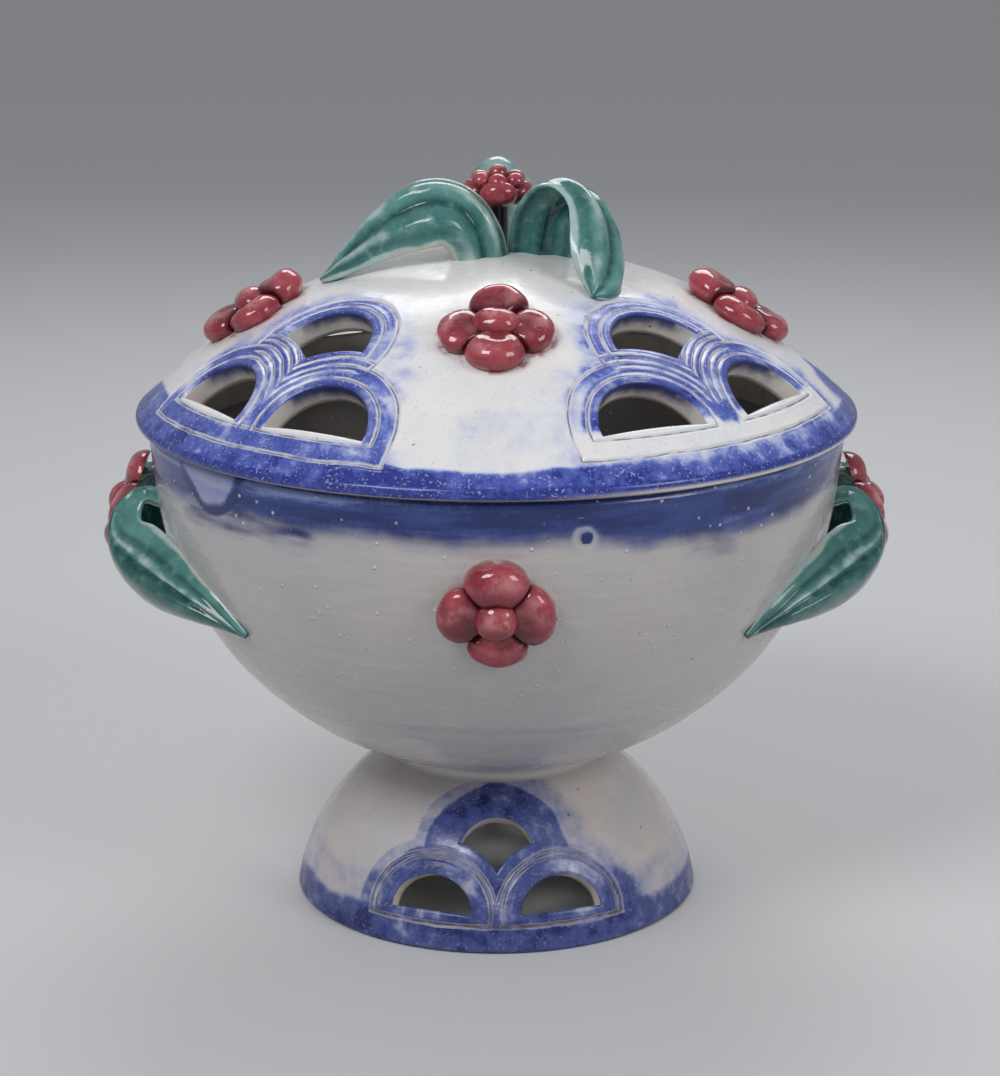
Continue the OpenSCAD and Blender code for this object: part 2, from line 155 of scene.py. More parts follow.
def faced_out(points, quads, tris, middle):
    """Faces turned so that they look away from the middle."""
    corner = points[quads[:, 0]]
    normal = np.cross(points[quads[:, 1]] - corner, points[quads[:, 3]] - corner)
    if np.sum(normal * (points[quads].mean(1) - middle)) < 0:
        return quads[:, ::-1], tris[:, ::-1]
    return quads, tris


def circle(radius, z, angles):
    return np.stack([radius * np.cos(angles), radius * np.sin(angles), np.full(len(angles), z)], -1)


def piece(node, body, slot, material, points, quads, tris, values):
    """A smooth mesh in place of a node, with its points in millimetres and named values for each point."""
    quads = np.asarray(quads, np.int32).reshape(-1, 4)
    tris = np.asarray(tris, np.int32).reshape(-1, 3)
    corners = np.concatenate([quads.ravel(), tris.ravel()])
    starts = np.concatenate([4 * np.arange(len(quads)), quads.size + 3 * np.arange(len(tris))])
    mesh = bpy.data.meshes.new(f"{node}_visual")
    mesh.vertices.add(len(points))
    mesh.vertices.foreach_set("co", (np.asarray(points) * MM).astype(np.float32).ravel())
    mesh.loops.add(len(corners))
    mesh.loops.foreach_set("vertex_index", corners)
    mesh.polygons.add(len(starts))
    mesh.polygons.foreach_set("loop_start", starts.astype(np.int32))
    mesh.polygons.foreach_set("use_smooth", np.ones(len(starts), bool))
    mesh.update(calc_edges=True)
    mesh.validate()
    for name, value in values.items():
        kept = mesh.attributes.new(name, "FLOAT", "POINT")
        kept.data.foreach_set("value", np.asarray(value, np.float32))
    ob = bpy.data.objects.new(f"{node}_visual", mesh)
    bpy.context.scene.collection.objects.link(ob)
    mesh.materials.append(material)
    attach(ob, body)
    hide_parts(node)


# Pierced groups
def dome_frame(r, cz, angle, turn):
    """A place on a dome with its directions: down the slope, across it and outwards."""
    a, t = math.radians(angle), math.radians(turn)
    x = np.array([math.cos(a) * math.cos(t), math.cos(a) * math.sin(t), -math.sin(a)])
    y = np.array([-math.sin(t), math.cos(t), 0.0])
    z = np.array([math.sin(a) * math.cos(t), math.sin(a) * math.sin(t), math.cos(a)])
    return np.array([0, 0, cz]) + r * z, x, y, z


class Group:
    """Two half-round openings side by side on a dome, and an upper one between them."""

    def __init__(self, r, cz, turn, hole_r, rise, half, sill, top_r, top, arch_r):
        self.r, self.cz, self.half = r, cz, half
        self.hole_r, self.rise, self.top_r, self.arch_r = hole_r, rise, top_r, arch_r
        mid = sill - math.degrees(hole_r * rise / 2 / r)
        aside = math.degrees(math.asin(half / r / math.sin(math.radians(sill))))
        self.down = r * math.sin(math.radians(sill - top))
        self.sill = math.radians(sill)
        self.frames = [dome_frame(r, cz, mid, turn + s * aside) for s in (-1, 1)]
        self.frames.append(dome_frame(r, cz, top, turn))

    def local(self, k, p):
        """Points in the frame of opening k, far off on the other side of the dome."""
        o, x, y, z = self.frames[k]
        far = (p - np.array([0, 0, self.cz])) @ z < 0.4 * self.r
        return np.where(far, 1e3, (p - o) @ x), np.where(far, 1e3, (p - o) @ y)

    def arch(self, k, p):
        """Distance outside the arch's round side, and below its sill."""
        x, y = self.local(k, p)
        x = x - self.hole_r * self.rise / 2
        up = np.minimum(x, 0)
        d = np.hypot(up / self.rise, y) - self.hole_r
        d = d * np.where(up < 0, np.hypot(up, y) / (np.hypot(up / self.rise, y) + 1e-9), 1)
        return d, x

    def crown(self, p):
        """Distance outside the upper opening and outside its round top, and the place in its frame."""
        x, y = self.local(2, p)
        d = np.hypot(x, y) - self.top_r
        a = np.minimum(np.hypot(x - self.down, y - self.half), np.hypot(x - self.down, y + self.half))
        return np.maximum(d, self.arch_r - a), d, x, y

    def below(self, p):
        """How far down the slope from the sill."""
        return self.r * (np.arctan2(np.hypot(p[:, 0], p[:, 1]), p[:, 2] - self.cz) - self.sill)

    def holes(self, p):
        """Distance outside each opening."""
        return np.stack([np.maximum(*self.arch(k, p)) for k in (0, 1)] + [self.crown(p)[0]])


def all_holes(groups, p):
    return np.concatenate([g.holes(p) for g in groups])


def opening_distance(groups, p):
    return np.min(all_holes(groups, p), axis=0)


EDGE_STEP = 0.02  # length over which a slope of the distance is measured
CUT_MARGIN = -0.02  # faces whose middle lies deeper in an opening are cut out


def pierced_sheet(groups, r, cz, turns, slopes):
    """The outside of a dome, as a ring of turns at each slope, with its openings cut to their outlines."""
    centre = np.array([0, 0, cz])
    A, F = np.meshgrid(np.radians(turns), np.radians(slopes))
    points = centre + r * np.stack([np.sin(F) * np.cos(A), np.sin(F) * np.sin(A), np.cos(F)], -1)
    points = points.reshape(-1, 3)
    across = np.stack([-np.sin(A), np.cos(A), np.zeros_like(A)], -1).reshape(-1, 3)
    down = np.stack([np.cos(F) * np.cos(A), np.cos(F) * np.sin(A), -np.sin(F)], -1).reshape(-1, 3)
    turn_step = np.radians(np.diff(np.append(turns, turns[0] + 360)))
    width = (np.maximum(turn_step, np.roll(turn_step, 1))[None, :] * r * np.sin(F)).ravel()
    height = np.repeat(np.abs(np.radians(np.gradient(slopes))) * r, len(turns))

    def gradient(k):
        found = []
        for way in (across, down):
            step = EDGE_STEP * way[k]
            rise = opening_distance(groups, points[k] + step) - opening_distance(groups, points[k] - step)
            found.append(rise / (2 * EDGE_STEP))
        return found

    d = opening_distance(groups, points)
    near = np.nonzero(np.abs(d) < 1.1 * np.maximum(width, height))[0]
    gx, gy = gradient(near)
    reach = 0.53 * np.maximum(np.abs(gx) * width[near], np.abs(gy) * height[near])
    moved = near[np.abs(d[near]) <= reach]
    for _ in range(4):
        gx, gy = gradient(moved)
        share = opening_distance(groups, points[moved]) / np.maximum(gx ** 2 + gy ** 2, 0.2)
        points[moved] -= share[:, None] * (gx[:, None] * across[moved] + gy[:, None] * down[moved])
        points[moved] = centre + r * unit(points[moved] - centre)
    d[moved] = 0
    grid = ring_grid(len(slopes), len(turns))[:, OTHER_WAY]
    kept = d[grid] >= 0
    count = kept.sum(1)
    quads = grid[(count == 4) & (opening_distance(groups, points[grid].mean(1)) > CUT_MARGIN)]
    tris = grid[count == 3][kept[count == 3]].reshape(-1, 3)
    tris = tris[opening_distance(groups, points[tris].mean(1)) > CUT_MARGIN]
    return points, d, quads, tris


def border(quads, tris):
    """Directed edges with no partner."""
    edges = [np.stack([faces, np.roll(faces, -1, 1)], -1).reshape(-1, 2) for faces in (quads, tris)]
    e = np.concatenate(edges).astype(np.int64)
    n = int(e.max()) + 1
    return e[~np.isin(e[:, 0] * n + e[:, 1], e[:, 1] * n + e[:, 0])]


class Vertices:
    """Points in the order they are added, with the kind of each."""

    def __init__(self):
        self.points, self.kinds, self.count = [], [], 0

    def add(self, points, kind):
        self.points.append(points)
        self.kinds.append(np.full(len(points), float(kind)))
        self.count += len(points)
        return np.arange(self.count - len(points), self.count)


# Kinds of a pierced dome's vertices; a wall's rows go on in tenths
OUTER, HOLE_WALL, SECTION = 0, 1, 2
WALL_ROWS = 5
FILL_STEP = 4.5  # distance between points on the inside


def pierced_dome(groups, r, cz, wall, turns, slopes, rings, inner, cap, displace, lip=0.55, lip_w=1.2):
    """A pierced dome as one closed skin: outside, walls of the openings, section and inside.

    rings has the section's (radius, z) from the last outside ring to the inside's edge, inner the least and
    greatest slope of the inside, and cap the (radius, z) of its upper edge or None. displace says how far
    the points of the outside move outwards, and lip and lip_w round the edges of the openings."""
    centre, inner_r, angles = np.array([0, 0, cz]), r - wall, np.radians(turns)
    base, d, quads, tris = pierced_sheet(groups, r, cz, turns, slopes)
    edge = border(quads, tris)
    row = edge // len(turns)
    rim = edge[~(np.all(row == 0, axis=1) | np.all(row == len(slopes) - 1, axis=1))]
    move = displace(base, d) - lip * np.clip(1 - d / lip_w, 0, 1) ** 2 * (d < lip_w)
    skin = Vertices()
    ring = skin.add(base + unit(base - centre) * move[:, None], OUTER)[-len(turns):]

    # walls of the openings
    ids, at = np.unique(rim, return_inverse=True)
    a, b = at.reshape(-1, 2).T
    start = base[ids]
    nearest = np.argmin(np.abs(all_holes(groups, start)), axis=0)
    axes = np.array([f[3] for g in groups for f in g.frames])[nearest]
    along = np.sum((start - centre) * axes, 1)
    depth = along - np.sqrt(np.maximum(along ** 2 - (np.sum((start - centre) ** 2, 1) - inner_r ** 2), 0))
    drop = 2.2 * lip
    limit_r = inner_r * math.sin(math.radians(inner[1])) - 0.5
    faces = [quads]
    from_a, from_b = rim.T
    for k in range(WALL_ROWS):
        wall_row = start - axes * (drop + (depth - drop) * k / (WALL_ROWS - 1))[:, None]
        if k == WALL_ROWS - 1:
            reach = np.hypot(wall_row[:, 0], wall_row[:, 1])
            over = reach > limit_r
            wall_row[over, :2] *= (limit_r / reach[over])[:, None]
            wall_row[over, 2] = cz + np.sqrt(inner_r ** 2 - limit_r ** 2)
        new = skin.add(wall_row, HOLE_WALL + 0.1 * k)
        faces.append(np.stack([from_b, from_a, new[a], new[b]], -1))
        from_a, from_b = new[a], new[b]

    # section beyond the last outside ring, and the inside's upper edge
    for ring_r, z in rings:
        new = skin.add(circle(ring_r, z, angles), SECTION)
        faces.append(belt(ring, new))
        ring = new
    outlines = [(from_a, from_b), (ring, np.roll(ring, -1))]
    cap_ring = np.array([], int)
    if cap is not None:
        cap_ring = skin.add(circle(*cap, angles), SECTION)
        outlines.append((cap_ring, np.roll(cap_ring, -1)))
        faces.append(belt(np.arange(len(turns)), cap_ring)[:, OTHER_WAY])

    # inside, filled with triangles between the outlines
    fill = []
    step = math.degrees(FILL_STEP / inner_r)
    for slope in np.arange(inner[0] + step, inner[1] - 0.6 * step, step):
        f = math.radians(slope)
        n = max(8, int(2 * math.pi * math.sin(f) * inner_r / FILL_STEP))
        turned = 2 * math.pi * (np.arange(n) + 0.37 * round(slope)) / n
        fill.append(centre + inner_r * circle(math.sin(f), math.cos(f), turned))
    fill = np.concatenate(fill)
    fill = skin.add(fill[opening_distance(groups, fill) > 2.0], SECTION)
    points = np.concatenate(skin.points)
    use = np.concatenate([ring, cap_ring, np.unique(from_a), fill])
    number = np.zeros(len(points), int)
    number[use] = np.arange(len(use))
    q = points[use] - centre
    f = np.arccos(np.clip(q[:, 2] / np.linalg.norm(q, axis=1), -1, 1))
    turned = np.arctan2(q[:, 1], q[:, 0])
    flat = np.stack([f * inner_r * np.cos(turned), f * inner_r * np.sin(turned)], -1)
    fixed = np.concatenate([np.stack([number[p], number[q]], -1) for p, q in outlines])
    found = delaunay_2d_cdt([Vector(v) for v in flat], [tuple(e) for e in fixed.tolist()], [], 0, 1e-6)
    source = np.array([o[0] if o else -1 for o in found[3]])
    inside = source[np.array([face for face in found[2] if len(face) == 3])]
    inside = use[inside[np.all(inside >= 0, axis=1)]]
    inside = inside[~np.isin(inside, cap_ring).all(1)]
    inside = inside[opening_distance(groups, points[inside].mean(1)) > -0.01]
    corner, second, third = (points[inside[:, k]] for k in range(3))
    outward = np.sum(np.cross(second - corner, third - corner) * (points[inside].mean(1) - centre), 1) > 0
    inside[outward] = inside[outward][:, ::-1]

    quads, tris = np.concatenate(faces), np.concatenate([tris, inside])
    used = np.zeros(len(points), bool)
    used[quads] = True
    used[tris] = True
    number = np.cumsum(used) - 1
    distance = np.full(len(points), FAR)
    distance[:len(d)] = d
    plain = points.copy()
    plain[:len(base)] = base
    kinds = np.concatenate(skin.kinds)
    return points[used], number[quads], number[tris], kinds[used], distance[used], plain[used]


def zones(kind):
    """Which vertices are on the face, on the walls of the openings and on the section."""
    return kind == OUTER, (kind >= HOLE_WALL) & (kind < SECTION), kind == SECTION


def spaced(spans):
    """Angles round a full turn from (start, end, step) spans."""
    turns = []
    for a, b, step in spans:
        n = max(1, int(round((b - a) / step)))
        turns.append(a + (b - a) * np.arange(n) / n)
    return np.concatenate(turns)


# Incised lines
FIELDS = ("arch_a", "arch_b", "crown", "out", "low")
NO_LINE = 9.0  # a distance at which a line isn't seen


def group_fields(g, p, plan, mirror=False):
    """Distances outside the group's arches and crown, outside its outline, and down from its sill."""
    arch_a, arch_b = (g.arch(k, p)[0] for k in ((1, 0) if mirror else (0, 1)))
    _, crown, x, y = g.crown(p)
    low = g.below(p)
    body = np.maximum(np.minimum(arch_a, arch_b) - plan["outline"], low - plan["base_out"])
    span = np.maximum(np.maximum(np.abs(y) - g.half, low - plan["base_out"]), -low - 4)
    out = np.minimum(body, span)
    if plan["crown_out"]:
        out = np.minimum(out, np.maximum(crown - plan["crown_out"], x - 0.8 * g.down))
    return [arch_a, arch_b, crown, out, low]


def wander(fields, p, seed):
    """Fields of a group, uneven as a hand draws them."""
    drawn = [f + 0.30 * noise(p, 11.0, seed + 2 * i) + 0.16 * noise(p, 4.0, seed + 2 * i + 1)
             for i, f in enumerate(fields[:4])]
    return drawn + fields[4:]


def line_values(fields, on_face):
    """Fields by their names, with the outline kept off all but the face."""
    values = dict(zip(FIELDS, fields))
    values["out"] = np.where(on_face, values["out"], NO_LINE)
    return values


class Numbers:
    """Arithmetic on arrays, under the names that Graph uses for shader nodes."""

    add, sub, mul, size = np.add, np.subtract, np.multiply, np.abs
    least, most, less = np.minimum, np.maximum, np.less


def line_distance(k, fields, plan):
    """Distance to the nearest incised line, worked out by k on arrays or, to stay sharp, on shader nodes."""
    arch_a, arch_b, crown, out, low = fields
    (loop_a, loop_b), (arcs_a, arcs_b) = plan["loops"], plan["arcs"]

    def only(test, x):
        return k.add(x, k.mul(k.sub(1.0, test), NO_LINE))

    base = k.sub(low, plan["base_in"])
    lines = [k.size(out)]
    for own, loop, other, other_loop in ((arch_a, loop_a, arch_b, loop_b), (arch_b, loop_b, arch_a, loop_a)):
        lines.append(only(k.less(other_loop, other), k.size(k.most(k.sub(own, loop), base))))
    lines.append(only(k.mul(k.less(arch_a, 9.0), k.less(arch_b, 9.0)), k.size(base)))
    nearer_a = k.less(arch_a, arch_b)
    under = k.mul(k.less(crown, plan["crown_out"]), k.less(low, -3.0))
    taper = k.mul(k.most(k.sub(crown, plan["crown_out"] - 4), 0.0), 0.25)
    for arcs, arch, own in ((arcs_a, arch_a, nearer_a), (arcs_b, arch_b, k.sub(1.0, nearer_a))):
        for offset in arcs:
            d = k.size(k.sub(arch, offset))
            if offset < plan["outline"]:
                d = k.add(d, taper)
            lines.append(only(k.mul(own, under), d))
    if arcs_a:
        over = k.least(k.sub(arch_a, arcs_a[-1]), k.sub(arch_b, arcs_b[-1]))
        lines.append(only(k.less(-0.5, over), k.size(k.sub(crown, plan["crown_in"]))))
    return reduce(k.least, lines)


def groove(delta, depth, width):
    """Depth profile of an incised line with a slight burr on both sides."""
    return -depth * bell(delta, width) + 0.25 * depth * bell(delta - 2 * width, 0.7 * width)


def upper_side(groups, p):
    """1 at the top of an opening, 0 at its sill."""
    best, up = np.full(len(p), 99.0), np.zeros(len(p))
    for g in groups:
        d = np.abs(g.holes(p))
        for k in range(3):
            x = g.local(k, p)[0]
            share = -x / g.top_r if k == 2 else -(x - g.hole_r * g.rise / 2) / (g.hole_r * g.rise)
            nearer = d[k] < best
            best, up = np.where(nearer, d[k], best), np.where(nearer, share, up)
    return up


def flower_edge(p, frames):
    """Distance outside the petals of the nearest flower, on the face it is pressed on."""
    half_out, half_across = 7.5, 9.9
    best = np.full(len(p), FAR)
    for o, x, y, z in frames:
        u, v = (p - o) @ x, (p - o) @ y
        near = np.abs((p - o) @ z) < 12
        for a, b in ((u, v), (v, -u), (-u, -v), (-v, u)):
            d = (np.hypot((a - PETAL_REACH) / half_out, b / half_across) - 1) * half_out
            best = np.where(near, np.minimum(best, d), best)
    return best


# Where the flowers sit: slope and turn on the lid, and the turn on the bowl
LID_FLOWERS = {"front": (24.7, -90), "right": (28.7, -3), "back": (28.7, 90), "left": (28.7, 183)}
lid_flower_frames = {side: dome_frame(LID_R, LID_CZ, *place) for side, place in LID_FLOWERS.items()}
bowl_flower_frames = {}
for side, turn in (("front", -90), ("back", 90)):
    drop = math.asin((BOWL_CZ - BOWL_FLOWER_Z) / BOWL_ARC)
    _, x, y, z = dome_frame(1.0, 0.0, 90 + math.degrees(drop), turn)
    t = math.radians(turn)
    o = np.array([BOWL_C * math.cos(t), BOWL_C * math.sin(t), BOWL_CZ]) + BOWL_ARC * z
    bowl_flower_frames[side] = (o, x, y, z)


# Materials
def arithmetic(operation):
    """A method of Graph that adds a maths node."""
    def method(graph, a, b=0.0):
        return graph.node("ShaderNodeMath", {0: a, 1: b}, operation=operation).outputs[0]
    return method


class Graph:
    """A short way to write a node tree, with sizes in millimetres."""

    add, sub, mul = arithmetic("ADD"), arithmetic("SUBTRACT"), arithmetic("MULTIPLY")
    size, less = arithmetic("ABSOLUTE"), arithmetic("LESS_THAN")
    least, most, angle = arithmetic("MINIMUM"), arithmetic("MAXIMUM"), arithmetic("ARCTAN2")

    def __init__(self, name):
        self.material = bpy.data.materials.new(name)
        self.material.use_nodes = True
        self.tree = self.material.node_tree
        self.shader = self.tree.nodes["Principled BSDF"]
        self.position = self.node("ShaderNodeTexCoord").outputs["Object"]

    def feed(self, socket, value):
        """Link a socket, or set its number or colour."""
        if isinstance(value, bpy.types.NodeSocket):
            self.tree.links.new(value, socket)
        else:
            socket.default_value = (*value, 1) if isinstance(value, tuple) else value

    def node(self, kind, values=(), **settings):
        node = self.tree.nodes.new(kind)
        for name, value in settings.items():
            setattr(node, name, value)
        for name, value in dict(values).items():
            self.feed(node.inputs[name], value)
        return node

    def attr(self, name):
        return self.node("ShaderNodeAttribute", attribute_name=name).outputs["Fac"]

    def noise(self, size, detail=3.0, rough=0.55, vector=None, distort=0.0):
        values = {"Vector": vector or self.position, "Scale": 1 / (size * MM), "Detail": detail,
                  "Roughness": rough, "Distortion": distort}
        return self.node("ShaderNodeTexNoise", values).outputs["Fac"]

    def dots(self, size, edge, middle):
        """Small round dots, one in each cell of the given size."""
        values = {"Vector": self.position, "Scale": 1 / (size * MM)}
        return self.step(self.node("ShaderNodeTexVoronoi", values).outputs["Distance"], edge, middle)

    def step(self, x, lo, hi, out_lo=0.0, out_hi=1.0):
        values = {"Value": x, "From Min": lo, "From Max": hi, "To Min": out_lo, "To Max": out_hi}
        return self.node("ShaderNodeMapRange", values, interpolation_type="SMOOTHSTEP").outputs["Result"]

    def mix(self, share, a, b):
        return self.node("ShaderNodeMix", {0: share, 6: a, 7: b}, data_type="RGBA").outputs[2]

    def tint(self, color, mask, tone, strength):
        """A colour with a tone laid over it where the mask is 1."""
        return self.mix(self.mul(mask, strength), color, tone)

    def vary(self, x, texture, share):
        """x with the swing of a texture added."""
        return self.add(x, self.mul(self.sub(texture, 0.5), share))

    def finish(self, color, rough, bumps, coat, spec=0.5):
        """The shader's inputs: rough is a size and two ends, and a bump is height, distance and strength."""
        size, lo, hi = rough
        values = {"Base Color": color, "Roughness": self.step(self.noise(size), 0.3, 0.7, lo, hi),
                  "Coat Weight": coat, "Coat Roughness": 0.05, "Specular IOR Level": spec}
        for height, distance, strength in bumps:
            bump = {"Height": height, "Distance": distance * MM, "Strength": strength}
            if "Normal" in values:
                bump["Normal"] = values["Normal"]
            values["Normal"] = self.node("ShaderNodeBump", bump).outputs["Normal"]
        for name, value in values.items():
            self.feed(self.shader.inputs[name], value)
        return self.material


def scaled(tone, share):
    return tuple(share * c for c in tone)


WHITE_WARM, WHITE_COOL = (0.845, 0.825, 0.795), (0.795, 0.80, 0.82)
FOOT_WARM, FOOT_COOL = (0.60, 0.535, 0.51), (0.52, 0.50, 0.51)
# thin, plain and thick cobalt
LID_BLUES = ((0.31, 0.375, 0.72), (0.082, 0.116, 0.45), (0.024, 0.040, 0.26))
FOOT_BLUES = ((0.20, 0.235, 0.42), (0.058, 0.078, 0.25), (0.014, 0.022, 0.125))
BOWL_BLUES = ((0.18, 0.235, 0.50), (0.022, 0.051, 0.23), (0.004, 0.017, 0.125))
LID_SCRATCH, FOOT_SCRATCH = (0.13, 0.135, 0.20), (0.085, 0.06, 0.05)
# the slip white is also a painted highlight on the foot's rolled top
LINE_WHITE, SLIP_AND_HIGHLIGHT_WHITE = (0.74, 0.745, 0.79), (0.80, 0.79, 0.78)
# the seam's bare clay is made dark, as painted shade of the gap under the lid
CLAY_PALE, CLAY_DARK, SHADED_BARE_CLAY = (0.80, 0.755, 0.70), (0.67, 0.63, 0.58), (0.20, 0.165, 0.135)
CHIP_DARK, CHIP_PALE = (0.17, 0.065, 0.022), (0.26, 0.12, 0.05)
BRUSH_STRETCH = 0.13


def tin_glaze(name, plan, warm, cool, blues, scratch, fleck=0.5, line_white=0.85, mottle=0.9):
    """White tin glaze with scratched lines, and brushed cobalt as much as the mesh says."""
    g = Graph(name)
    blue, ring = g.attr("blue"), g.attr("petal")
    fields = [g.attr(field) for field in FIELDS]
    big, mid, fine = g.noise(26, 4), g.noise(6.5, 4, 0.62), g.noise(1.5, 3, 0.6)
    white = g.mix(g.step(big, 0.36, 0.66), warm, cool)
    white = g.tint(white, g.step(mid, 0.55, 0.8), scaled(warm, 0.78), 0.25)

    # brush marks run along the arches inside the outline, and spots lie outside it
    place = g.node("ShaderNodeSeparateXYZ", {"Vector": g.position}).outputs
    stroke = {"X": g.mul(g.least(fields[0], fields[1]), MM), "Y": g.mul(place["X"], BRUSH_STRETCH),
              "Z": g.mul(place["Y"], BRUSH_STRETCH)}
    brush = g.noise(1.3, 3, 0.6, g.node("ShaderNodeCombineXYZ", stroke).outputs[0])
    drawn = g.step(fields[3], 1.5, -0.5)
    spots = (g.noise(2.6, 5, 0.68), g.mul(g.sub(1.0, drawn), mottle))
    amount = blue
    for texture, share in ((mid, 0.8), (fine, 0.6), (brush, g.mul(drawn, 0.75)), spots):
        amount = g.vary(amount, texture, g.mul(blue, share))
    tone = g.mix(g.step(amount, 0.32, 0.72), blues[0], blues[1])
    tone = g.mix(g.step(amount, 0.72, 1.15), tone, blues[2])
    col = g.mix(g.step(amount, 0.04, 0.55), white, tone)
    speck = g.mul(g.step(g.noise(0.95, 2, 0.5), 0.575, 0.665), g.step(mid, 0.40, 0.58))
    col = g.tint(col, speck, tuple(0.5 * (a + b) for a, b in zip(blues[0], cool)), fleck)

    # the red of a flower bleeds into the glaze round it
    col = g.tint(col, g.step(ring, 2.2, 0.8), (0.76, 0.70, 0.68), 0.55)
    col = g.tint(col, g.mul(g.step(ring, 1.5, 0.1), g.step(mid, 0.46, 0.62)), (0.40, 0.11, 0.13), 0.75)

    # scratched lines, with glaze broken white beside them
    delta = g.vary(line_distance(g, fields, plan), fine, 0.35)
    worn = g.step(g.noise(8, 3), 0.30, 0.52, 0.35, 1.0)
    col = g.tint(col, g.mul(g.step(delta, 1.0, 0.5), worn), LINE_WHITE, line_white)
    core = g.mul(g.step(delta, 0.37, 0.16), g.step(g.noise(6, 3), 0.38, 0.58, 0.25, 1.0))
    col = g.tint(col, core, scratch, 0.85)

    # walls of the openings, slip (paler also as a painted highlight), edges, chips, bare clay (dark at the
    # seam as painted shade) and pinholes
    clay = g.mix(g.step(g.noise(9, 4), 0.4, 0.7), CLAY_PALE, CLAY_DARK)
    col = g.mix(g.attr("wall"), col, clay)
    # slip ring, paler also as a painted highlight of the rolled top
    col = g.mix(g.attr("slip"), col, SLIP_AND_HIGHLIGHT_WHITE)
    col = g.tint(col, g.attr("accent"), scaled(blues[2], 0.6), 0.95)
    col = g.tint(col, g.attr("chip"), g.mix(g.step(fine, 0.4, 0.6), CHIP_DARK, CHIP_PALE), 0.95)
    # bare clay of the seat, darkened as painted shade of the gap
    col = g.mix(g.attr("seam"), col, SHADED_BARE_CLAY)
    pin = g.mul(g.dots(7.5, 0.085, 0.03), g.step(g.noise(40, 2), 0.42, 0.58))
    col = g.tint(col, pin, (0.12, 0.11, 0.13), 0.75)
    bumps = [(g.noise(3.2, 3, 0.5), 0.5, 0.16), (g.noise(0.9, 2), 0.2, 0.10), (pin, -0.4, 0.6)]
    return g.finish(col, (5, 0.16, 0.28), bumps, coat=0.06, spec=0.38)


# Lid
RIGHT_GROUPS = (0, 2)
LID_LINES = dict(loops=(3.6, 3.4), outline=9.4, arcs=((6.4, 9.4, 12.3, 14.9), (6.6, 9.4, 12.8)),
                 crown_in=3.8, crown_out=8.3, base_in=3.0, base_out=10.0)
LID_DRIP_TURN, LID_CHIP_AT = 86, (97.5, -51.0)
FRONT_GROUP = dict(turn=-2.8, half=2.2, sill=-0.9)  # how far the front right group is from a regular place


def lid_group(k):
    off = {name: value * (k == 0) for name, value in FRONT_GROUP.items()}
    return Group(LID_R, LID_CZ, 90 * k - 45 + off["turn"], hole_r=18.4, rise=1.0, half=24.8 + off["half"],
                 sill=40.7 + off["sill"], top_r=18.4, top=29.0, arch_r=36.8)


lid_groups = [lid_group(k) for k in range(4)]
lid_turns = spaced([(c + a, c + b, step) for c in (0, 90, 180, 270)
                    for a, b, step in ((-11, 11, 0.5), (11, 79, 0.2))])
lid_slopes = np.concatenate([np.linspace(0.25, 19.0, 26)[:-1], np.linspace(19.0, 46.2, 230)])


def lid_fields(p):
    """The fields of the nearest group, and that group's number."""
    best = None
    for k, group in enumerate(lid_groups):
        found = group_fields(group, p, LID_LINES, k in RIGHT_GROUPS) + [np.full(len(p), k)]
        best = best or found
        nearer = found[3] < best[3]
        best = [np.where(nearer, a, b) for a, b in zip(found, best)]
    return wander(best, p, 5)


def lid_move(p, d):
    cut = groove(line_distance(Numbers, lid_fields(p)[:5], LID_LINES), depth=0.62, width=0.55)
    return cut * smooth(-0.2, 0.8, d) + (0.16 * noise(p, 38, 3) + 0.08 * noise(p, 14, 4))


edge_r, edge_z = LID_OUT - LID_EDGE, RIM_Z + LID_EDGE - 0.15
cavity_z = LID_CZ + math.sqrt((LID_R - LID_WALL) ** 2 - LID_CAVITY_R ** 2)
lid_rings = [(edge_r + LID_EDGE * math.sin(a), edge_z + LID_EDGE * math.cos(a))
             for a in np.radians((52, 64, 76, 88, 100, 114, 128, 142, 156, 168))]
lid_rings.append((edge_r - 0.6, RIM_Z + INSET))
lid_rings += [(LID_CAVITY_R + r, z) for r, z in (
    (4.5, RIM_Z + INSET), (3.2, RIM_Z - 0.8), (3.1, FLANGE_Z + 1.0), (2.3, FLANGE_Z + 0.1),
    (0.9, FLANGE_Z + 0.1), (0.1, FLANGE_Z + 1.0), (0.0, cavity_z - 3), (-0.01, cavity_z))]


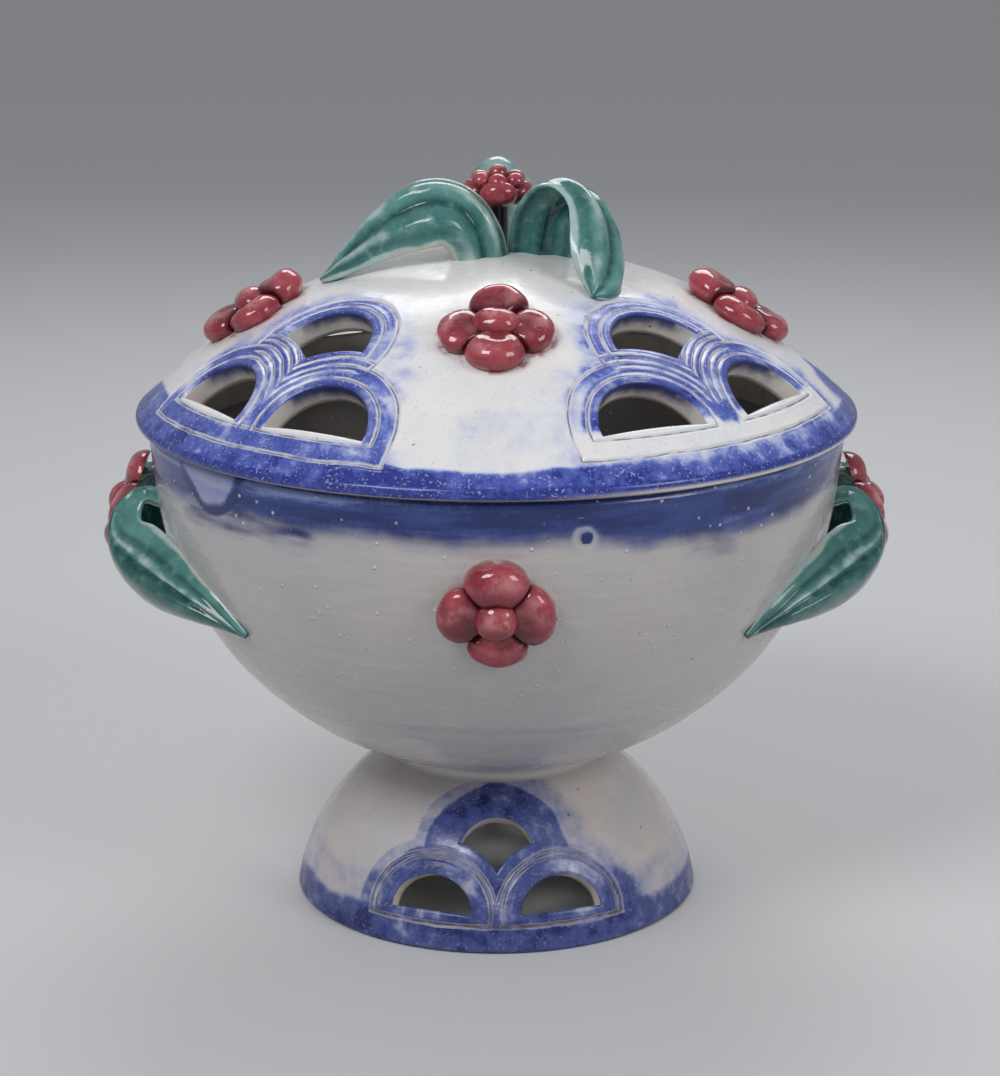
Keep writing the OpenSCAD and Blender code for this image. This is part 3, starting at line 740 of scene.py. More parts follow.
def lid_paint(kind, d, base):
    """Where cobalt, bare clay and stains lie on the lid, with the seat's bare clay darkened as painted shade.
    """
    *fields, which = lid_fields(base)
    arch_a, arch_b, _, out, low = fields
    nearer, farther = np.minimum(arch_a, arch_b), np.maximum(arch_a, arch_b)
    on_face, on_wall, on_section = zones(kind)
    turn, radius, z = around(base)
    slope = np.arctan2(radius, z - LID_CZ) * LID_R
    right = np.isin(which, RIGHT_GROUPS)
    patch = noise(base, 17, 9)

    # inside the groups, with sills and wedges left pale
    inside = smooth(0.7, -0.5, out)
    wedge = 3.5 * smooth(3.0, 7.0, nearer) * smooth(26, 20, farther)
    soft_sill = smooth(-2.6, 1.0, low - wedge + 1.2 * noise(base, 7, 17))
    thin_sill = smooth(-0.9, 0.3, low) * smooth(3.4, 2.0, low) * smooth(1.5, -1.0, nearer)
    between = smooth(4.2, 6.0, nearer) * smooth(-26, -14, low) * (farther > 24)
    pale = np.maximum(np.where(right, 0.92 * soft_sill, thin_sill), np.where(right, 0.62, 0.12) * between)
    group_blue = inside * (0.80 + 0.25 * patch) * (1 - pale)

    # the band along the edge, narrower between the groups, and narrower and softer below the right ones
    gap = smooth(24, 13, np.abs((turn + 45) % 90 - 45)) * (1 - np.exp(-((turn + 90) / 30) ** 4))
    band_top = 120.4 + 7.0 * gap + np.where(right, 4.5 * (1 - gap), 0) + 1.8 * noise(base, 22, 8)
    soft = np.where(right, 4.0 * (1 - gap), 0)
    rim_band = smooth(band_top - 1.2 - soft, band_top + 1.8 + soft, slope)
    rim_band = rim_band * (0.92 + 0.25 * noise(base, 30, 10)) * (1 - 0.015 * soft)
    rim_band = rim_band * (0.82 + 0.30 * smooth(122, 131, slope))

    # cobalt that ran outside the outlines
    beyond = np.maximum(out, 0)
    haze = 0.52 * (1 - inside) * bell(beyond, 10) * np.clip(0.60 + 0.9 * noise(base, 24, 18), 0, 1)
    haze = haze * smooth(44, 60, slope) * (1 - 0.6 * smooth(88, 104, slope))
    wash = 0.64 * (1 - inside) * np.exp(-beyond / 5.5) * np.clip(0.60 + 1.2 * patch, 0, 1.2)
    wash = wash * smooth(40, 52, slope)
    cloud = 0.16 * smooth(0.15, 0.6, noise(base, 26, 12)) * smooth(96, 108, slope) * (1 - inside)
    mottle = 0.5 * layered(base, 11, 21) + 0.5 * layered(base, 4.5, 22)
    blue = np.maximum.reduce([group_blue, rim_band, wash, haze, cloud]) * (0.85 + 0.5 * mottle)
    drip = bell(turn - LID_DRIP_TURN + 1.6 * noise(base, 9, 15), 1.6 + 3.8 * smooth(106, 126, slope))
    drip = drip * smooth(105, 118, slope + 3 * noise(base, 6, 16))
    blue = np.clip(np.maximum(blue, drip), 0, 1.3)
    skirt = on_section & (z > RIM_Z + 0.5) & (radius > edge_r - 1)
    blue = np.where(on_face, blue, np.where(skirt, np.maximum(1.05, drip), 0.0))

    # dark upper edges of the openings, the chip, and the bare clay of seat and lowest edge; the seat is
    # darkened as painted shade of the gap under the lid
    up = upper_side(lid_groups, base)
    ragged = 0.5 * noise(base, 5.0, 13) + 0.3 * noise(base, 1.8, 14)
    wall_edge = smooth(0.35, 0.75, up + 0.3 * ragged) * smooth(1.32, 1.05, kind + 0.12 * ragged)
    face_edge = smooth(0.25, 0.7, up) * np.exp(-np.clip(d, 0, FAR) / 0.8)
    from_chip = np.hypot(base[:, 0] - LID_CHIP_AT[0], base[:, 1] - LID_CHIP_AT[1])
    bare = skirt * smooth(RIM_Z + 2.2, RIM_Z + 1.4, z) * smooth(4, 30, turn) * smooth(84, 66, turn)
    return line_values(fields, on_face) | {
        "blue": blue, "wall": np.maximum(on_wall | (on_section & (blue == 0)), 0.9 * bare),
        "accent": np.where(on_face, face_edge, np.where(on_wall, wall_edge, 0)),
        "chip": np.where(on_wall, smooth(7.0, 4.0, from_chip + 2.5 * ragged), 0),
        "seam": on_section & (z <= RIM_Z + 0.5) & (radius > LID_CAVITY_R + 3.9),
        "petal": np.where(on_face, flower_edge(base, lid_flower_frames.values()), FAR)}


lid_inner = (0.0, math.degrees(math.asin(LID_CAVITY_R / (LID_R - LID_WALL))))
points, quads, tris, kind, d, base = pierced_dome(
    lid_groups, LID_R, LID_CZ, LID_WALL, lid_turns, lid_slopes, lid_rings, lid_inner, None, lid_move)
crown_point = [[0, 0, CROWN_Z]]
tris = np.vstack([tris, fan(len(points), np.arange(len(lid_turns)))])
points, base = np.vstack([points, crown_point]), np.vstack([base, crown_point])
kind, d = np.append(kind, OUTER), np.append(d, FAR)
lid_glaze = tin_glaze("lid_glaze", LID_LINES, WHITE_WARM, WHITE_COOL, LID_BLUES, LID_SCRATCH)
piece("lid", "lid", "lid_glaze", lid_glaze, points, quads, tris, lid_paint(kind, d, base))

# Foot
foot_groups = [Group(FOOT_R, FOOT_CZ, 180 * k - 90, hole_r=14.0, rise=0.84, half=22.0, sill=70.0, top_r=12.4,
                     top=53.5, arch_r=25.8) for k in range(2)]
FOOT_LINES = dict(loops=(6.2, 6.2), outline=8.1, arcs=((), ()), crown_out=0, base_in=4.0, base_out=4.4)
FOOT_ROLL_R = 34.2
foot_turns = spaced([(-45, 45, 1.2), (45, 135, 0.4), (135, 225, 1.2), (225, 315, 0.4)])
foot_slopes = np.linspace(math.degrees(math.asin(FOOT_TOP_R / FOOT_R)),
                          math.degrees(math.acos(-FOOT_CZ / FOOT_R)) - 0.9, 160)


def foot_fields(p):
    front, back = (group_fields(g, p, FOOT_LINES) for g in foot_groups)
    return wander([np.where(p[:, 1] < 0, a, b) for a, b in zip(front, back)], p, 45)


def foot_move(p, d):
    cut = groove(line_distance(Numbers, foot_fields(p), FOOT_LINES), depth=0.55, width=0.5)
    roll = 0.8 * bell(np.hypot(p[:, 0], p[:, 1]) - FOOT_ROLL_R, 1.3)
    return cut * smooth(-0.2, 0.8, d) + 0.25 * noise(p, 30, 43) + 0.1 * noise(p, 11, 44) + roll


def foot_paint(kind, base):
    """Where cobalt, slip (paler also as a painted highlight on the foot's rolled top) and bare clay lie on
    the foot.
    """
    fields = foot_fields(base)
    arch_a, arch_b, crown = fields[:3]
    on_face, on_wall, on_section = zones(kind)
    turn, radius, z = around(base)
    edge = np.minimum(np.minimum(arch_a, arch_b) - 9.0, crown - 12.0) + 0.9 * noise(base, 12, 65)
    side = smooth(34, 60, np.minimum(np.abs(turn), 180 - np.abs(turn)))
    rim_band = smooth(15.5 - 3.0 * side + 3.0 * noise(base, 24, 63), 9.0 - 2.0 * side, z)
    wash = 0.34 * smooth(4.8 + 6 * smooth(-6, 16, base[:, 0]), 3.6, edge + 1.0 * noise(base, 9, 66))
    wash = wash + 0.24 * smooth(24 + 4 * noise(base, 18, 67), 18, z)
    group_blue = smooth(1.6, -1.0, edge) * (0.74 + 0.25 * noise(base, 14, 68))
    mottle = 0.5 * layered(base, 10, 61) + 0.5 * layered(base, 4, 62)
    blue = np.clip(np.maximum.reduce([group_blue, 0.92 * rim_band, wash]) * (0.92 + 0.55 * mottle), 0, 1.2)
    skirt = on_section & (radius > FOOT_OUT - 1.5)
    blue = np.where(on_face, blue, np.where(skirt, 0.9, 0.0))
    return line_values(fields, on_face) | {
        "blue": blue, "petal": np.full(len(base), FAR), "wall": on_wall | (on_section & (blue == 0)),
        # slip ring at the foot's top, paler also as a painted highlight
        "slip": np.where(on_face, smooth(38.0, 35.5, radius), 0)}


foot_in = FOOT_R - FOOT_WALL
ground_r = math.sqrt(foot_in ** 2 - FOOT_CZ ** 2)
foot_rings = [(FOOT_OUT - 0.25, 0.7), (FOOT_OUT - 1.0, 0.1), (FOOT_OUT - 2.0, INSET), (ground_r + 1.2, INSET),
              (ground_r + 0.3, 0.3), (ground_r - 0.05, 1.0)]
bore_slope = math.degrees(math.asin(FOOT_BORE_R / foot_in))
foot_inner = (bore_slope, math.degrees(math.acos((1.0 - FOOT_CZ) / foot_in)))
bore = (FOOT_BORE_R, FOOT_CZ + foot_in * math.cos(math.radians(bore_slope)))
points, quads, tris, kind, d, base = pierced_dome(
    foot_groups, FOOT_R, FOOT_CZ, FOOT_WALL, foot_turns, foot_slopes, foot_rings, foot_inner, bore, foot_move,
    lip=0.45, lip_w=1.0)
foot_glaze = tin_glaze("foot_glaze", FOOT_LINES, FOOT_WARM, FOOT_COOL, FOOT_BLUES, FOOT_SCRATCH,
                       fleck=0.3, line_white=0.28, mottle=0.35)
piece("foot", "vase", "foot_glaze", foot_glaze, points, quads, tris, foot_paint(kind, base))

# Bowl
OUTSIDE, RIM_TOP, INSIDE, UNDER = 0, 1, 2, 3
BOWL_FOOT_R = 21.0
rim_c, rim_cz = RIM_D / 2 - RIM_R, RIM_Z - RIM_DROP
bowl_angles = np.radians(spaced([(-112, -68, 0.3), (-68, 68, 0.75), (68, 112, 0.3), (112, 248, 0.75)]))


def bowl_r(z):
    return BOWL_C + math.sqrt(BOWL_ARC ** 2 - (z - BOWL_CZ) ** 2)


def bowl_profile():
    """Radius, height and kind along the section, from under the base over the rim to the inside's bottom."""
    line = [(r, BASE_Z + INSET, UNDER) for r in (0.4, 10.0, 20.0)]
    first = math.degrees(math.asin((BOWL_FOOT_R - BOWL_C) / BOWL_ARC))
    for a in np.radians(np.linspace(first, 84.5, 200)):
        line.append((BOWL_C + BOWL_ARC * math.sin(a), BOWL_CZ - BOWL_ARC * math.cos(a), OUTSIDE))
    belly_r, belly_z = line[-1][:2]
    to_r, to_z = RIM_D / 2 - 0.35 - belly_r, rim_cz - 0.4 - belly_z
    for t in np.linspace(0, 1, 22)[1:]:
        line.append((belly_r + to_r * smooth(0, 1, t), belly_z + to_z * t, OUTSIDE))
    for a in np.radians(np.linspace(92, 150, 8)[1:]):
        line.append((rim_c + RIM_R * math.sin(a), rim_cz - RIM_R * math.cos(a) - 0.05, OUTSIDE))
    line += [(r, RIM_Z - drop, RIM_TOP) for r, drop in (
        (rim_c + 1.2, 0.25), (rim_c - 0.5, 0.06), (rim_c - 3.0, 0.2), (107.6, 1.2), (107.3, 3.5))]
    inner = BOWL_ARC - BOWL_WALL
    for a in np.linspace(88, 0.3, 44):
        r = BOWL_C + inner * math.sin(math.radians(a)) if a > 1 else 5.0 * a
        z = BOWL_CZ - inner * math.cos(math.radians(a))
        line.append((r, max(z, BOWL_CZ - inner + 0.7), INSIDE))
    return np.array(line)


def swept(line):
    """A line of (radius, height) turned round the axis."""
    return np.concatenate([circle(r, z, bowl_angles) for r, z in line])


def bowl_mesh():
    """The bowl with its throwing marks: points, quads, tris, points without marks, and kinds."""
    line = bowl_profile()
    rows, columns = len(line), len(bowl_angles)
    along = np.gradient(line[:, :2], axis=0)
    outward = swept(unit(np.stack([along[:, 1], -along[:, 0]], -1)))
    base = swept(line[:, :2])
    kind = np.repeat(line[:, 2], columns)
    z = base[:, 2]
    spiral = on_line(z + 2.5 * np.arctan2(base[:, 1], base[:, 0]) / math.pi)
    move = 0.35 * noise(base, 45, 81) + 0.12 * noise(base, 16, 82)
    move = move + 0.10 * noise(spiral, 4.2, 83) + 0.06 * noise(spiral, 1.9, 84)
    move *= (kind == OUTSIDE) * smooth(BASE_Z + 2, BASE_Z + 14, z) * smooth(RIM_Z - 0.5, RIM_Z - 5, z)
    points = base + outward * move[:, None]
    tris = np.vstack([fan(len(points), np.arange(columns))[:, FAN_OTHER_WAY],
                      fan(len(points) + 1, (rows - 1) * columns + np.arange(columns))])
    poles = [[0, 0, BASE_Z + INSET], [0, 0, line[-1, 1]]]
    points, base = np.vstack([points, poles]), np.vstack([base, poles])
    return points, ring_grid(rows, columns), tris, base, np.append(kind, [UNDER, INSIDE])


BOWL_DRIP_TURN, BOWL_DOT = -51.0, (13.6, 12.9)
PATH_PER_DEGREE = 2.02  # millimetres along the bowl's rim


def bowl_paint(base, kind):
    """Where the brushed band, its drip and dot, and the bare rim lie on the bowl, with a painted shadow line
    under the rim and the rim's clay darkened as painted shade.
    """
    turn, radius, z = around(base)
    below = RIM_Z - z
    path = PATH_PER_DEGREE * turn
    along = on_line(path)
    streak = 0.6 * layered(np.stack([0.12 * path, z, 0 * path], -1), 2.6, 93)

    # the band: a pale strip under the rim, wider at the left, then dark cobalt that fades out downwards
    wide = smooth(25, 50, path) * smooth(130, 100, path)
    band_end = 17.0 + 3.2 * wide + 1.0 * noise(along, 30, 91) + 0.8 * noise(along, 9, 92)
    band = smooth(band_end + 3.5, band_end - 10.0, below + 2.4 * streak)
    turn_dark = 5.6 - 3.0 * smooth(-60, -10, path) * smooth(180, 120, path)
    turn_dark = turn_dark + 1.6 * noise(along, 44, 95) + 1.0 * noise(along, 12, 96)
    brushed = 0.45 * smooth(0.05, 0.6, noise(along, 36, 97)) * smooth(band_end + 8, band_end, below)
    amount = np.maximum(band * (0.78 + 0.35 * streak), brushed * (0.7 + 0.8 * streak))
    tone = 0.12 + 0.72 * smooth(turn_dark - 2.5, turn_dark + 2.5, below) + 0.55 * streak
    # painted shadow: the cobalt is darker in the first 2 mm under the rim, below the lid's edge
    tone = tone + 0.5 * smooth(1.9, 0.7, below)

    # the drip is pale inside and pools dark at its edge
    aside = (turn - BOWL_DRIP_TURN) * PATH_PER_DEGREE - 0.1 * below
    drip = np.hypot(aside / 14.8, (np.maximum(below, 0) / 13.0) ** 0.85) + 0.05 * noise(base, 5, 98)
    drip_in, drip_ring = smooth(1.0, 0.88, drip), bell(drip - 1.08, 0.10)
    tone = np.where(drip < 1.6, tone * (1 - 0.85 * drip_in) + 0.6 * drip_ring, tone)
    pool = 0.9 * drip_ring * smooth(0, 6, below)
    amount = np.where(drip < 1.6, np.maximum(amount * (1 - 0.45 * drip_in), pool), amount)

    # the dot has a pale halo
    dot = np.hypot((turn - BOWL_DOT[0]) * PATH_PER_DEGREE, below - BOWL_DOT[1])
    halo = 0.7 * bell(dot - 3.0 + 1.0 * noise(base, 3, 99), 1.3)
    amount = amount * (1 - 0.8 * halo) + smooth(2.0, 1.3, dot)
    tone = tone * (1 - 0.8 * halo) + 0.8 * smooth(2.0, 1.3, dot)
    outside, rim_top = kind == OUTSIDE, kind == RIM_TOP
    painted = outside | (rim_top & (radius > rim_c - 1))
    # the seam: the rim's top and a thin line under it, bare clay darkened as painted shade
    return {"blue": np.where(painted, np.clip(amount, 0, 1), 0), "tone": np.clip(tone, 0, 1.2),
            "petal": np.where(outside, flower_edge(base, bowl_flower_frames.values()), FAR),
            "seam": rim_top | (outside & (below < 0.9))}


def bowl_glaze():
    """Grey-white glaze over throwing marks, with a brushed cobalt band, pimples and pits."""
    g = Graph("bowl_glaze")
    blue, petal = g.attr("blue"), g.attr("petal")
    big, mid, fine = g.noise(60, 4), g.noise(7, 4, 0.62), g.noise(1.5, 3, 0.6)
    place = g.node("ShaderNodeSeparateXYZ", {"Vector": g.position}).outputs
    turned = {"X": g.mul(g.angle(place["Y"], place["X"]), 0.010), "Y": place["Z"]}
    flat = g.node("ShaderNodeCombineXYZ", turned).outputs[0]
    ring, hair = g.noise(2.4, 4, 0.6, flat), g.noise(0.7, 3, 0.6, flat)
    white = g.mix(g.step(big, 0.35, 0.66), (0.50, 0.468, 0.455), (0.445, 0.435, 0.445))
    white = g.tint(white, g.step(ring, 0.46, 0.70), (0.56, 0.535, 0.525), 0.26)
    white = g.tint(white, g.step(mid, 0.56, 0.78), (0.385, 0.365, 0.36), 0.30)
    stain = g.mul(g.step(g.noise(34, 3), 0.58, 0.75), g.step(mid, 0.35, 0.6))
    white = g.tint(white, stain, (0.42, 0.385, 0.31), 0.3)
    amount = g.vary(blue, mid, g.mul(blue, 0.6))
    depth = g.vary(g.vary(g.attr("tone"), ring, 0.9), fine, 0.5)
    cobalt = g.mix(g.step(depth, 0.10, 0.60), BOWL_BLUES[0], BOWL_BLUES[1])
    cobalt = g.mix(g.step(depth, 0.55, 1.10), cobalt, BOWL_BLUES[2])
    col = g.mix(g.step(amount, 0.03, 0.62), white, cobalt)
    scratch = g.mul(g.mul(g.step(hair, 0.66, 0.72), g.step(g.noise(11, 2), 0.5, 0.6)), blue)
    col = g.tint(col, scratch, (0.40, 0.42, 0.52), 0.5)
    col = g.tint(col, g.step(petal, 1.3, 0.1), (0.62, 0.57, 0.55), 0.6)
    col = g.tint(col, g.mul(g.step(petal, 0.2, -0.8), g.step(mid, 0.42, 0.58)), (0.27, 0.05, 0.07), 0.7)
    pimple = g.mul(g.dots(5.2, 0.16, 0.06), g.step(g.noise(12, 2), 0.40, 0.52))
    col = g.tint(col, pimple, (0.76, 0.75, 0.74), 0.7)
    pit = g.mul(g.dots(8.3, 0.065, 0.03), g.step(g.noise(23, 2), 0.5, 0.6))
    col = g.tint(col, pit, (0.05, 0.05, 0.09), 0.7)
    # bare clay of the rim, darkened as painted shade of the gap under the lid
    col = g.mix(g.attr("seam"), col, SHADED_BARE_CLAY)
    bumps = [(ring, 0.35, 0.2), (g.noise(3.0, 3, 0.5), 0.4, 0.14), (pimple, 0.5, 0.8), (pit, -0.3, 0.5)]
    return g.finish(col, (8, 0.16, 0.30), bumps, coat=0.25)


points, quads, tris, base, kind = bowl_mesh()
piece("bowl", "vase", "bowl_glaze", bowl_glaze(), points, quads, tris, bowl_paint(base, kind))

# Leaves
RIDGED, FOLDED, HUMP = "ridged", "folded", "hump"
FOLD_ROUND, HUMP_ROUND = 0.11, 0.5
SOFT_STEPS, SOFT_REACH = 11.0, 24  # how many rings the softening of a leaf's bends spreads over
LEAF_STEPS, LEAF_ACROSS = 130, 65


def catmull(rows, s):
    """A smooth curve through rows, at places s counted in rows."""
    n = len(rows) - 1
    i = np.minimum(np.floor(s).astype(int), n - 1)
    b, c = rows[i], rows[i + 1]
    a = np.where((i > 0)[:, None], rows[np.maximum(i - 1, 0)], 2 * b - c)
    d = np.where((i < n - 1)[:, None], rows[np.minimum(i + 2, n)], 2 * c - b)
    t = (s - i)[:, None]
    square, cube = 2 * a - 5 * b + 4 * c - d, 3 * b - a - 3 * c + d
    return 0.5 * (2 * b + (c - a) * t + square * t * t + cube * t ** 3)


def ridge_line(s):
    """Where the ridge of a folded leaf runs across it, from the outer corner at its neck to its tip."""
    return 0.12 - 0.46 * smooth(0.30, 0.60, s) + 0.26 * smooth(0.70, 1.0, s)


def leaf_mark(kind, u, s, w, fold):
    """Relief on a leaf: a vein and rims, or a ridge with grooves beside it and a swelling lobe below."""
    wide = np.minimum(w / 12, 1)
    if kind == HUMP:
        return -0.4 * wide * np.ones_like(u)
    if kind == RIDGED:
        return wide * (-0.5 * bell(u, 0.10) + 0.25 * bell(np.abs(u) - 0.93, 0.06))
    ridge = ridge_line(s)[:, None]
    v = u - ridge
    swell = 2.3 * (fold / 0.36) * np.sin(math.pi * np.clip((v - 0.12) / (0.95 - ridge), 0, 1))
    hollow = 1.3 * bell(v + 0.22, 0.12) + 2.2 * bell(v - 0.17, 0.075)
    return wide * (0.55 * bell(v, 0.09) - 0.75 * hollow + swell)


def eased_along(ring, s):
    """Rings of a leaf with the bends between its rows softened, but not at root and tip."""
    weight = np.exp(-(np.arange(-SOFT_REACH, SOFT_REACH + 1) / SOFT_STEPS) ** 2)
    padded = np.concatenate([np.repeat(ring[:1], SOFT_REACH, 0), ring, np.repeat(ring[-1:], SOFT_REACH, 0)])
    eased = sum(w * padded[k:k + len(ring)] for k, w in enumerate(weight / weight.sum()))
    return ring + (smooth(0, 0.1, s) * smooth(1, 0.9, s))[:, None, None] * (eased - ring)


def leaf_mesh(rows, ridge, kind, seed, spread=0.0):
    """A leaf as rings across its rows: the CAD's section with a rounded rim, and what its glaze follows."""
    rows = np.array(rows, float)
    n = len(rows) - 1
    t = np.linspace(0, n, LEAF_STEPS)
    s = t / n
    v = catmull(rows, t)
    ahead, behind = catmull(rows, np.minimum(t + 0.05, n)), catmull(rows, np.maximum(t - 0.05, 0))
    along = unit(ahead[:, :3] - behind[:, :3])
    across = unit(np.cross(v[:, 3:6], along))
    up = np.cross(along, across)
    w, cup, fold = np.maximum(v[:, 6:7], 0.8), v[:, 7:8], v[:, 8:9]
    blunt = FOLD_ROUND
    if kind == HUMP:
        cup, fold, blunt = cup + 0.15, fold + 0.12, HUMP_ROUND
    u = np.sin(np.linspace(-math.pi / 2, math.pi / 2, LEAF_ACROSS))[None, :]
    bend = np.sqrt(u * u + blunt ** 2) - blunt
    rise = w * (ridge * np.sin(math.pi * u) ** 2 - cup * u * u - fold * bend)
    mark = leaf_mark(kind, u, s, w, fold)
    half = LEAF_T / 2 * (0.75 * np.sqrt(np.maximum(1 - np.abs(u) ** 3.2, 0)) + 0.25 * (1 - u * u))
    half = half * np.minimum(1, 0.35 + 0.65 * np.minimum(w / (0.45 * w.max()), 1))
    root = spread * (smooth(0.02, 0.2, s) * smooth(0.75, 0.4, s))[:, None]
    mid = v[:, None, :3] + across[:, None] * ((u + root * np.maximum(u, 0)) * w / 2)[..., None]
    front = mid + up[:, None] * (rise + half + mark)[..., None]
    rear = mid + up[:, None] * (rise - half + 0.6 * mark)[..., None]
    ring = eased_along(np.concatenate([front, rear[:, -2:0:-1]], axis=1), s)
    m = ring.shape[1]
    points = ring.reshape(-1, 3)
    points = points + 0.18 * np.stack([noise(points, 6, seed + k) for k in range(3)], -1)
    quads = ring_grid(LEAF_STEPS, m)
    first, last = np.arange(m), (LEAF_STEPS - 1) * m + np.arange(m)
    tris = np.vstack([fan(len(points), first)[:, FAN_OTHER_WAY], fan(len(points) + 1, last)])
    points = np.vstack([points, points[first].mean(0), points[last].mean(0)])
    quads, tris = faced_out(points, quads, tris, np.repeat(v[:-1, :3], m, 0))
    across_at = np.append(np.tile(np.concatenate([u[0], u[0, -2:0:-1]]), LEAF_STEPS), [0, 0])
    face = np.append(np.tile(np.repeat([1.0, 0.0], [LEAF_ACROSS, LEAF_ACROSS - 2]), LEAF_STEPS), [0, 0])
    along_at = np.append(np.repeat(s, m), [0, 1])
    return points, quads, tris, leaf_paint(points, across_at, along_at, face, kind, seed)


def leaf_paint(points, u, s, face, kind, seed):
    """Where the glaze broke to a pale edge and where it ran warm, with painted shade in grooves, below a fold
    and underneath, and painted light at the neck of a folded leaf.
    """
    n1, n2 = noise(points, 8.0, seed + 3), noise(points, 3.0, seed + 4)
    edge = np.abs(u) + 0.05 * n1
    lip = smooth(0.84, 0.96, edge)
    if kind == RIDGED:
        pale = 0.85 * lip + bell(edge - 0.5, 0.19) * (0.42 + 0.45 * n1 + 0.2 * n2)
        pale = pale + 0.5 * smooth(0.28, 0.10, s) * smooth(-0.3, 0.5, u) * (0.7 + n1)
        # painted shade in the middle vein and in the valleys near the edges
        painted_shade = 0.95 * bell(u, 0.15) + 0.5 * bell(edge - 0.76, 0.09)
    elif kind == HUMP:
        pale, painted_shade = 0.42 + 0.3 * n1 + 0.5 * lip, 0 * u
    else:
        v = u - ridge_line(s)
        line = bell(v + 0.03 * n1, 0.085) * smooth(0.25, 0.45, s) * (0.75 + 0.5 * n2)
        pale = 0.8 * line + lip * np.where(u < 0, 0.25 + 0.6 * smooth(0.25, 0.5, s), 0.55)
        # painted light: paler towards the root, at the neck of the leaf
        pale = pale + 0.3 * smooth(0.30, 0.12, s) * (0.6 + n1)
        # painted shade in the grooves beside the ridge and on the lower half below the fold
        painted_shade = (0.66 * smooth(0.08, 0.22, v + 0.04 * n1) + 0.5 * bell(v - 0.17, 0.08)) * (1 - lip)
        painted_shade = painted_shade + 0.8 * bell(v + 0.2, 0.09) * smooth(0.3, 0.5, s)
    warm = lip * smooth(0.1, 0.5, noise(points, 12.0, seed + 5) + 0.5 * (u > 0.5))
    # painted shade underneath the leaf, which is also less pale there
    painted_shade = np.clip(painted_shade + 0.3 * (1 - face), 0, 1) * (1 - 0.7 * lip)
    return {"pale": np.clip(pale, 0, 1) * (0.35 + 0.65 * face), "painted_shade": painted_shade, "warm": warm}


def leaf_glaze():
    """Green glaze, with painted shade where the mesh says and pale where it broke over edges and ridges."""
    g = Graph("leaf_glaze")
    big, mid, fine = g.noise(16, 3), g.noise(4.5, 4, 0.6), g.noise(1.2, 3)
    col = g.mix(g.step(big, 0.36, 0.64), (0.050, 0.180, 0.163), (0.110, 0.290, 0.262))
    col = g.tint(col, g.step(mid, 0.52, 0.74), (0.21, 0.40, 0.38), 0.5)
    # painted shade in grooves, below a fold and underneath
    col = g.tint(col, g.attr("painted_shade"), (0.006, 0.052, 0.056), g.step(mid, 0.72, 0.36, 0.45, 1.0))
    broke = g.mul(g.step(g.vary(g.attr("pale"), mid, 0.7), 0.12, 0.95), 0.92)
    col = g.mix(broke, col, (0.45, 0.565, 0.55))
    col = g.tint(col, g.mul(g.attr("warm"), broke), (0.52, 0.47, 0.34), 0.6)
    col = g.tint(col, g.step(fine, 0.62, 0.72), (0.012, 0.075, 0.085), 0.22)
    bumps = [(g.noise(4, 3, 0.5), 0.55, 0.2), (fine, 0.12, 0.07)]
    return g.finish(col, (6, 0.08, 0.16), bumps, coat=0.15, spec=0.4)


# rows of a knob leaf: x, y, rise as a share, outward direction, width as a share, cup and fold
KNOB_RIDGE, LEFT_SPREAD = 0.09, 0.30
KNOB_LEAVES = {
    "left": (KNOB_RIDGE, RIDGED, LEFT_SPREAD, [
        [-4.3, -9.8, -0.3, 0.25, -1, 0.25, 0.78, 0.05, 0],
        [-6.2, -11.3, 0.40, 0.35, -0.85, 0.45, 0.82, 0.06, 0],
        [-17, -11.5, 0.80, 0.1, -0.8, 0.65, 0.96, 0.08, 0],
        [-31, -10.5, 0.71, -0.35, -0.8, 0.65, 0.95, 0.1, 0],
        [-44.5, -7.5, 0.36, -0.5, -0.6, 0.8, 0.66, 0.12, 0],
        [-52.5, -5.5, 0.12, -0.4, -0.25, 0.9, 0.42, 0.1, 0],
        [-57.5, -4, 0.03, -0.35, 0, 0.9, 0.12, 0, 0]]),
    "right": (KNOB_RIDGE, RIDGED, 0, [
        [14.2, -3.5, -0.2, 0, 1, 0.2, 0.90, 0, 0], [15.0, -3, 0.43, 0.05, 0.95, 0.3, 0.88, 0.03, 0],
        [18.8, -4.0, 0.85, 0.05, 0.75, 0.75, 0.80, 0.04, 0], [25.8, -8, 0.99, 0.35, 0.15, 0.95, 0.78, 0.1, 0],
        [32.5, -17, 0.86, 0.78, -0.2, 0.6, 0.9, 0.14, 0.05],
        [35.8, -28, 0.50, 0.78, -0.5, 0.4, 1.04, 0.14, 0.12],
        [34.2, -37.5, 0.16, 0.5, -0.7, 0.6, 0.74, 0.1, 0.1], [31, -43.5, 0.04, 0.2, -0.5, 0.9, 0.12, 0, 0]]),
    "back": (0, HUMP, 0, [
        [0.5, 19.2, -0.12, 0, -1, 0.2, 0.5, 0, 0], [0.5, 21.3, 0.55, 0, -0.9, 0.4, 0.75, 0.05, 0.03],
        [0.5, 27.6, 1.17, 0, -0.35, 1, 0.95, 0.1, 0.08], [0.5, 37.8, 1.18, 0, 0.35, 1, 0.95, 0.12, 0.1],
        [0, 46.5, 0.62, 0, 0.7, 0.7, 0.8, 0.1, 0.06], [-1, 53, 0.16, 0, 0.5, 0.9, 0.45, 0.05, 0],
        [-2, 58, 0.035, 0, 0.35, 0.9, 0.1, 0, 0]]),
}
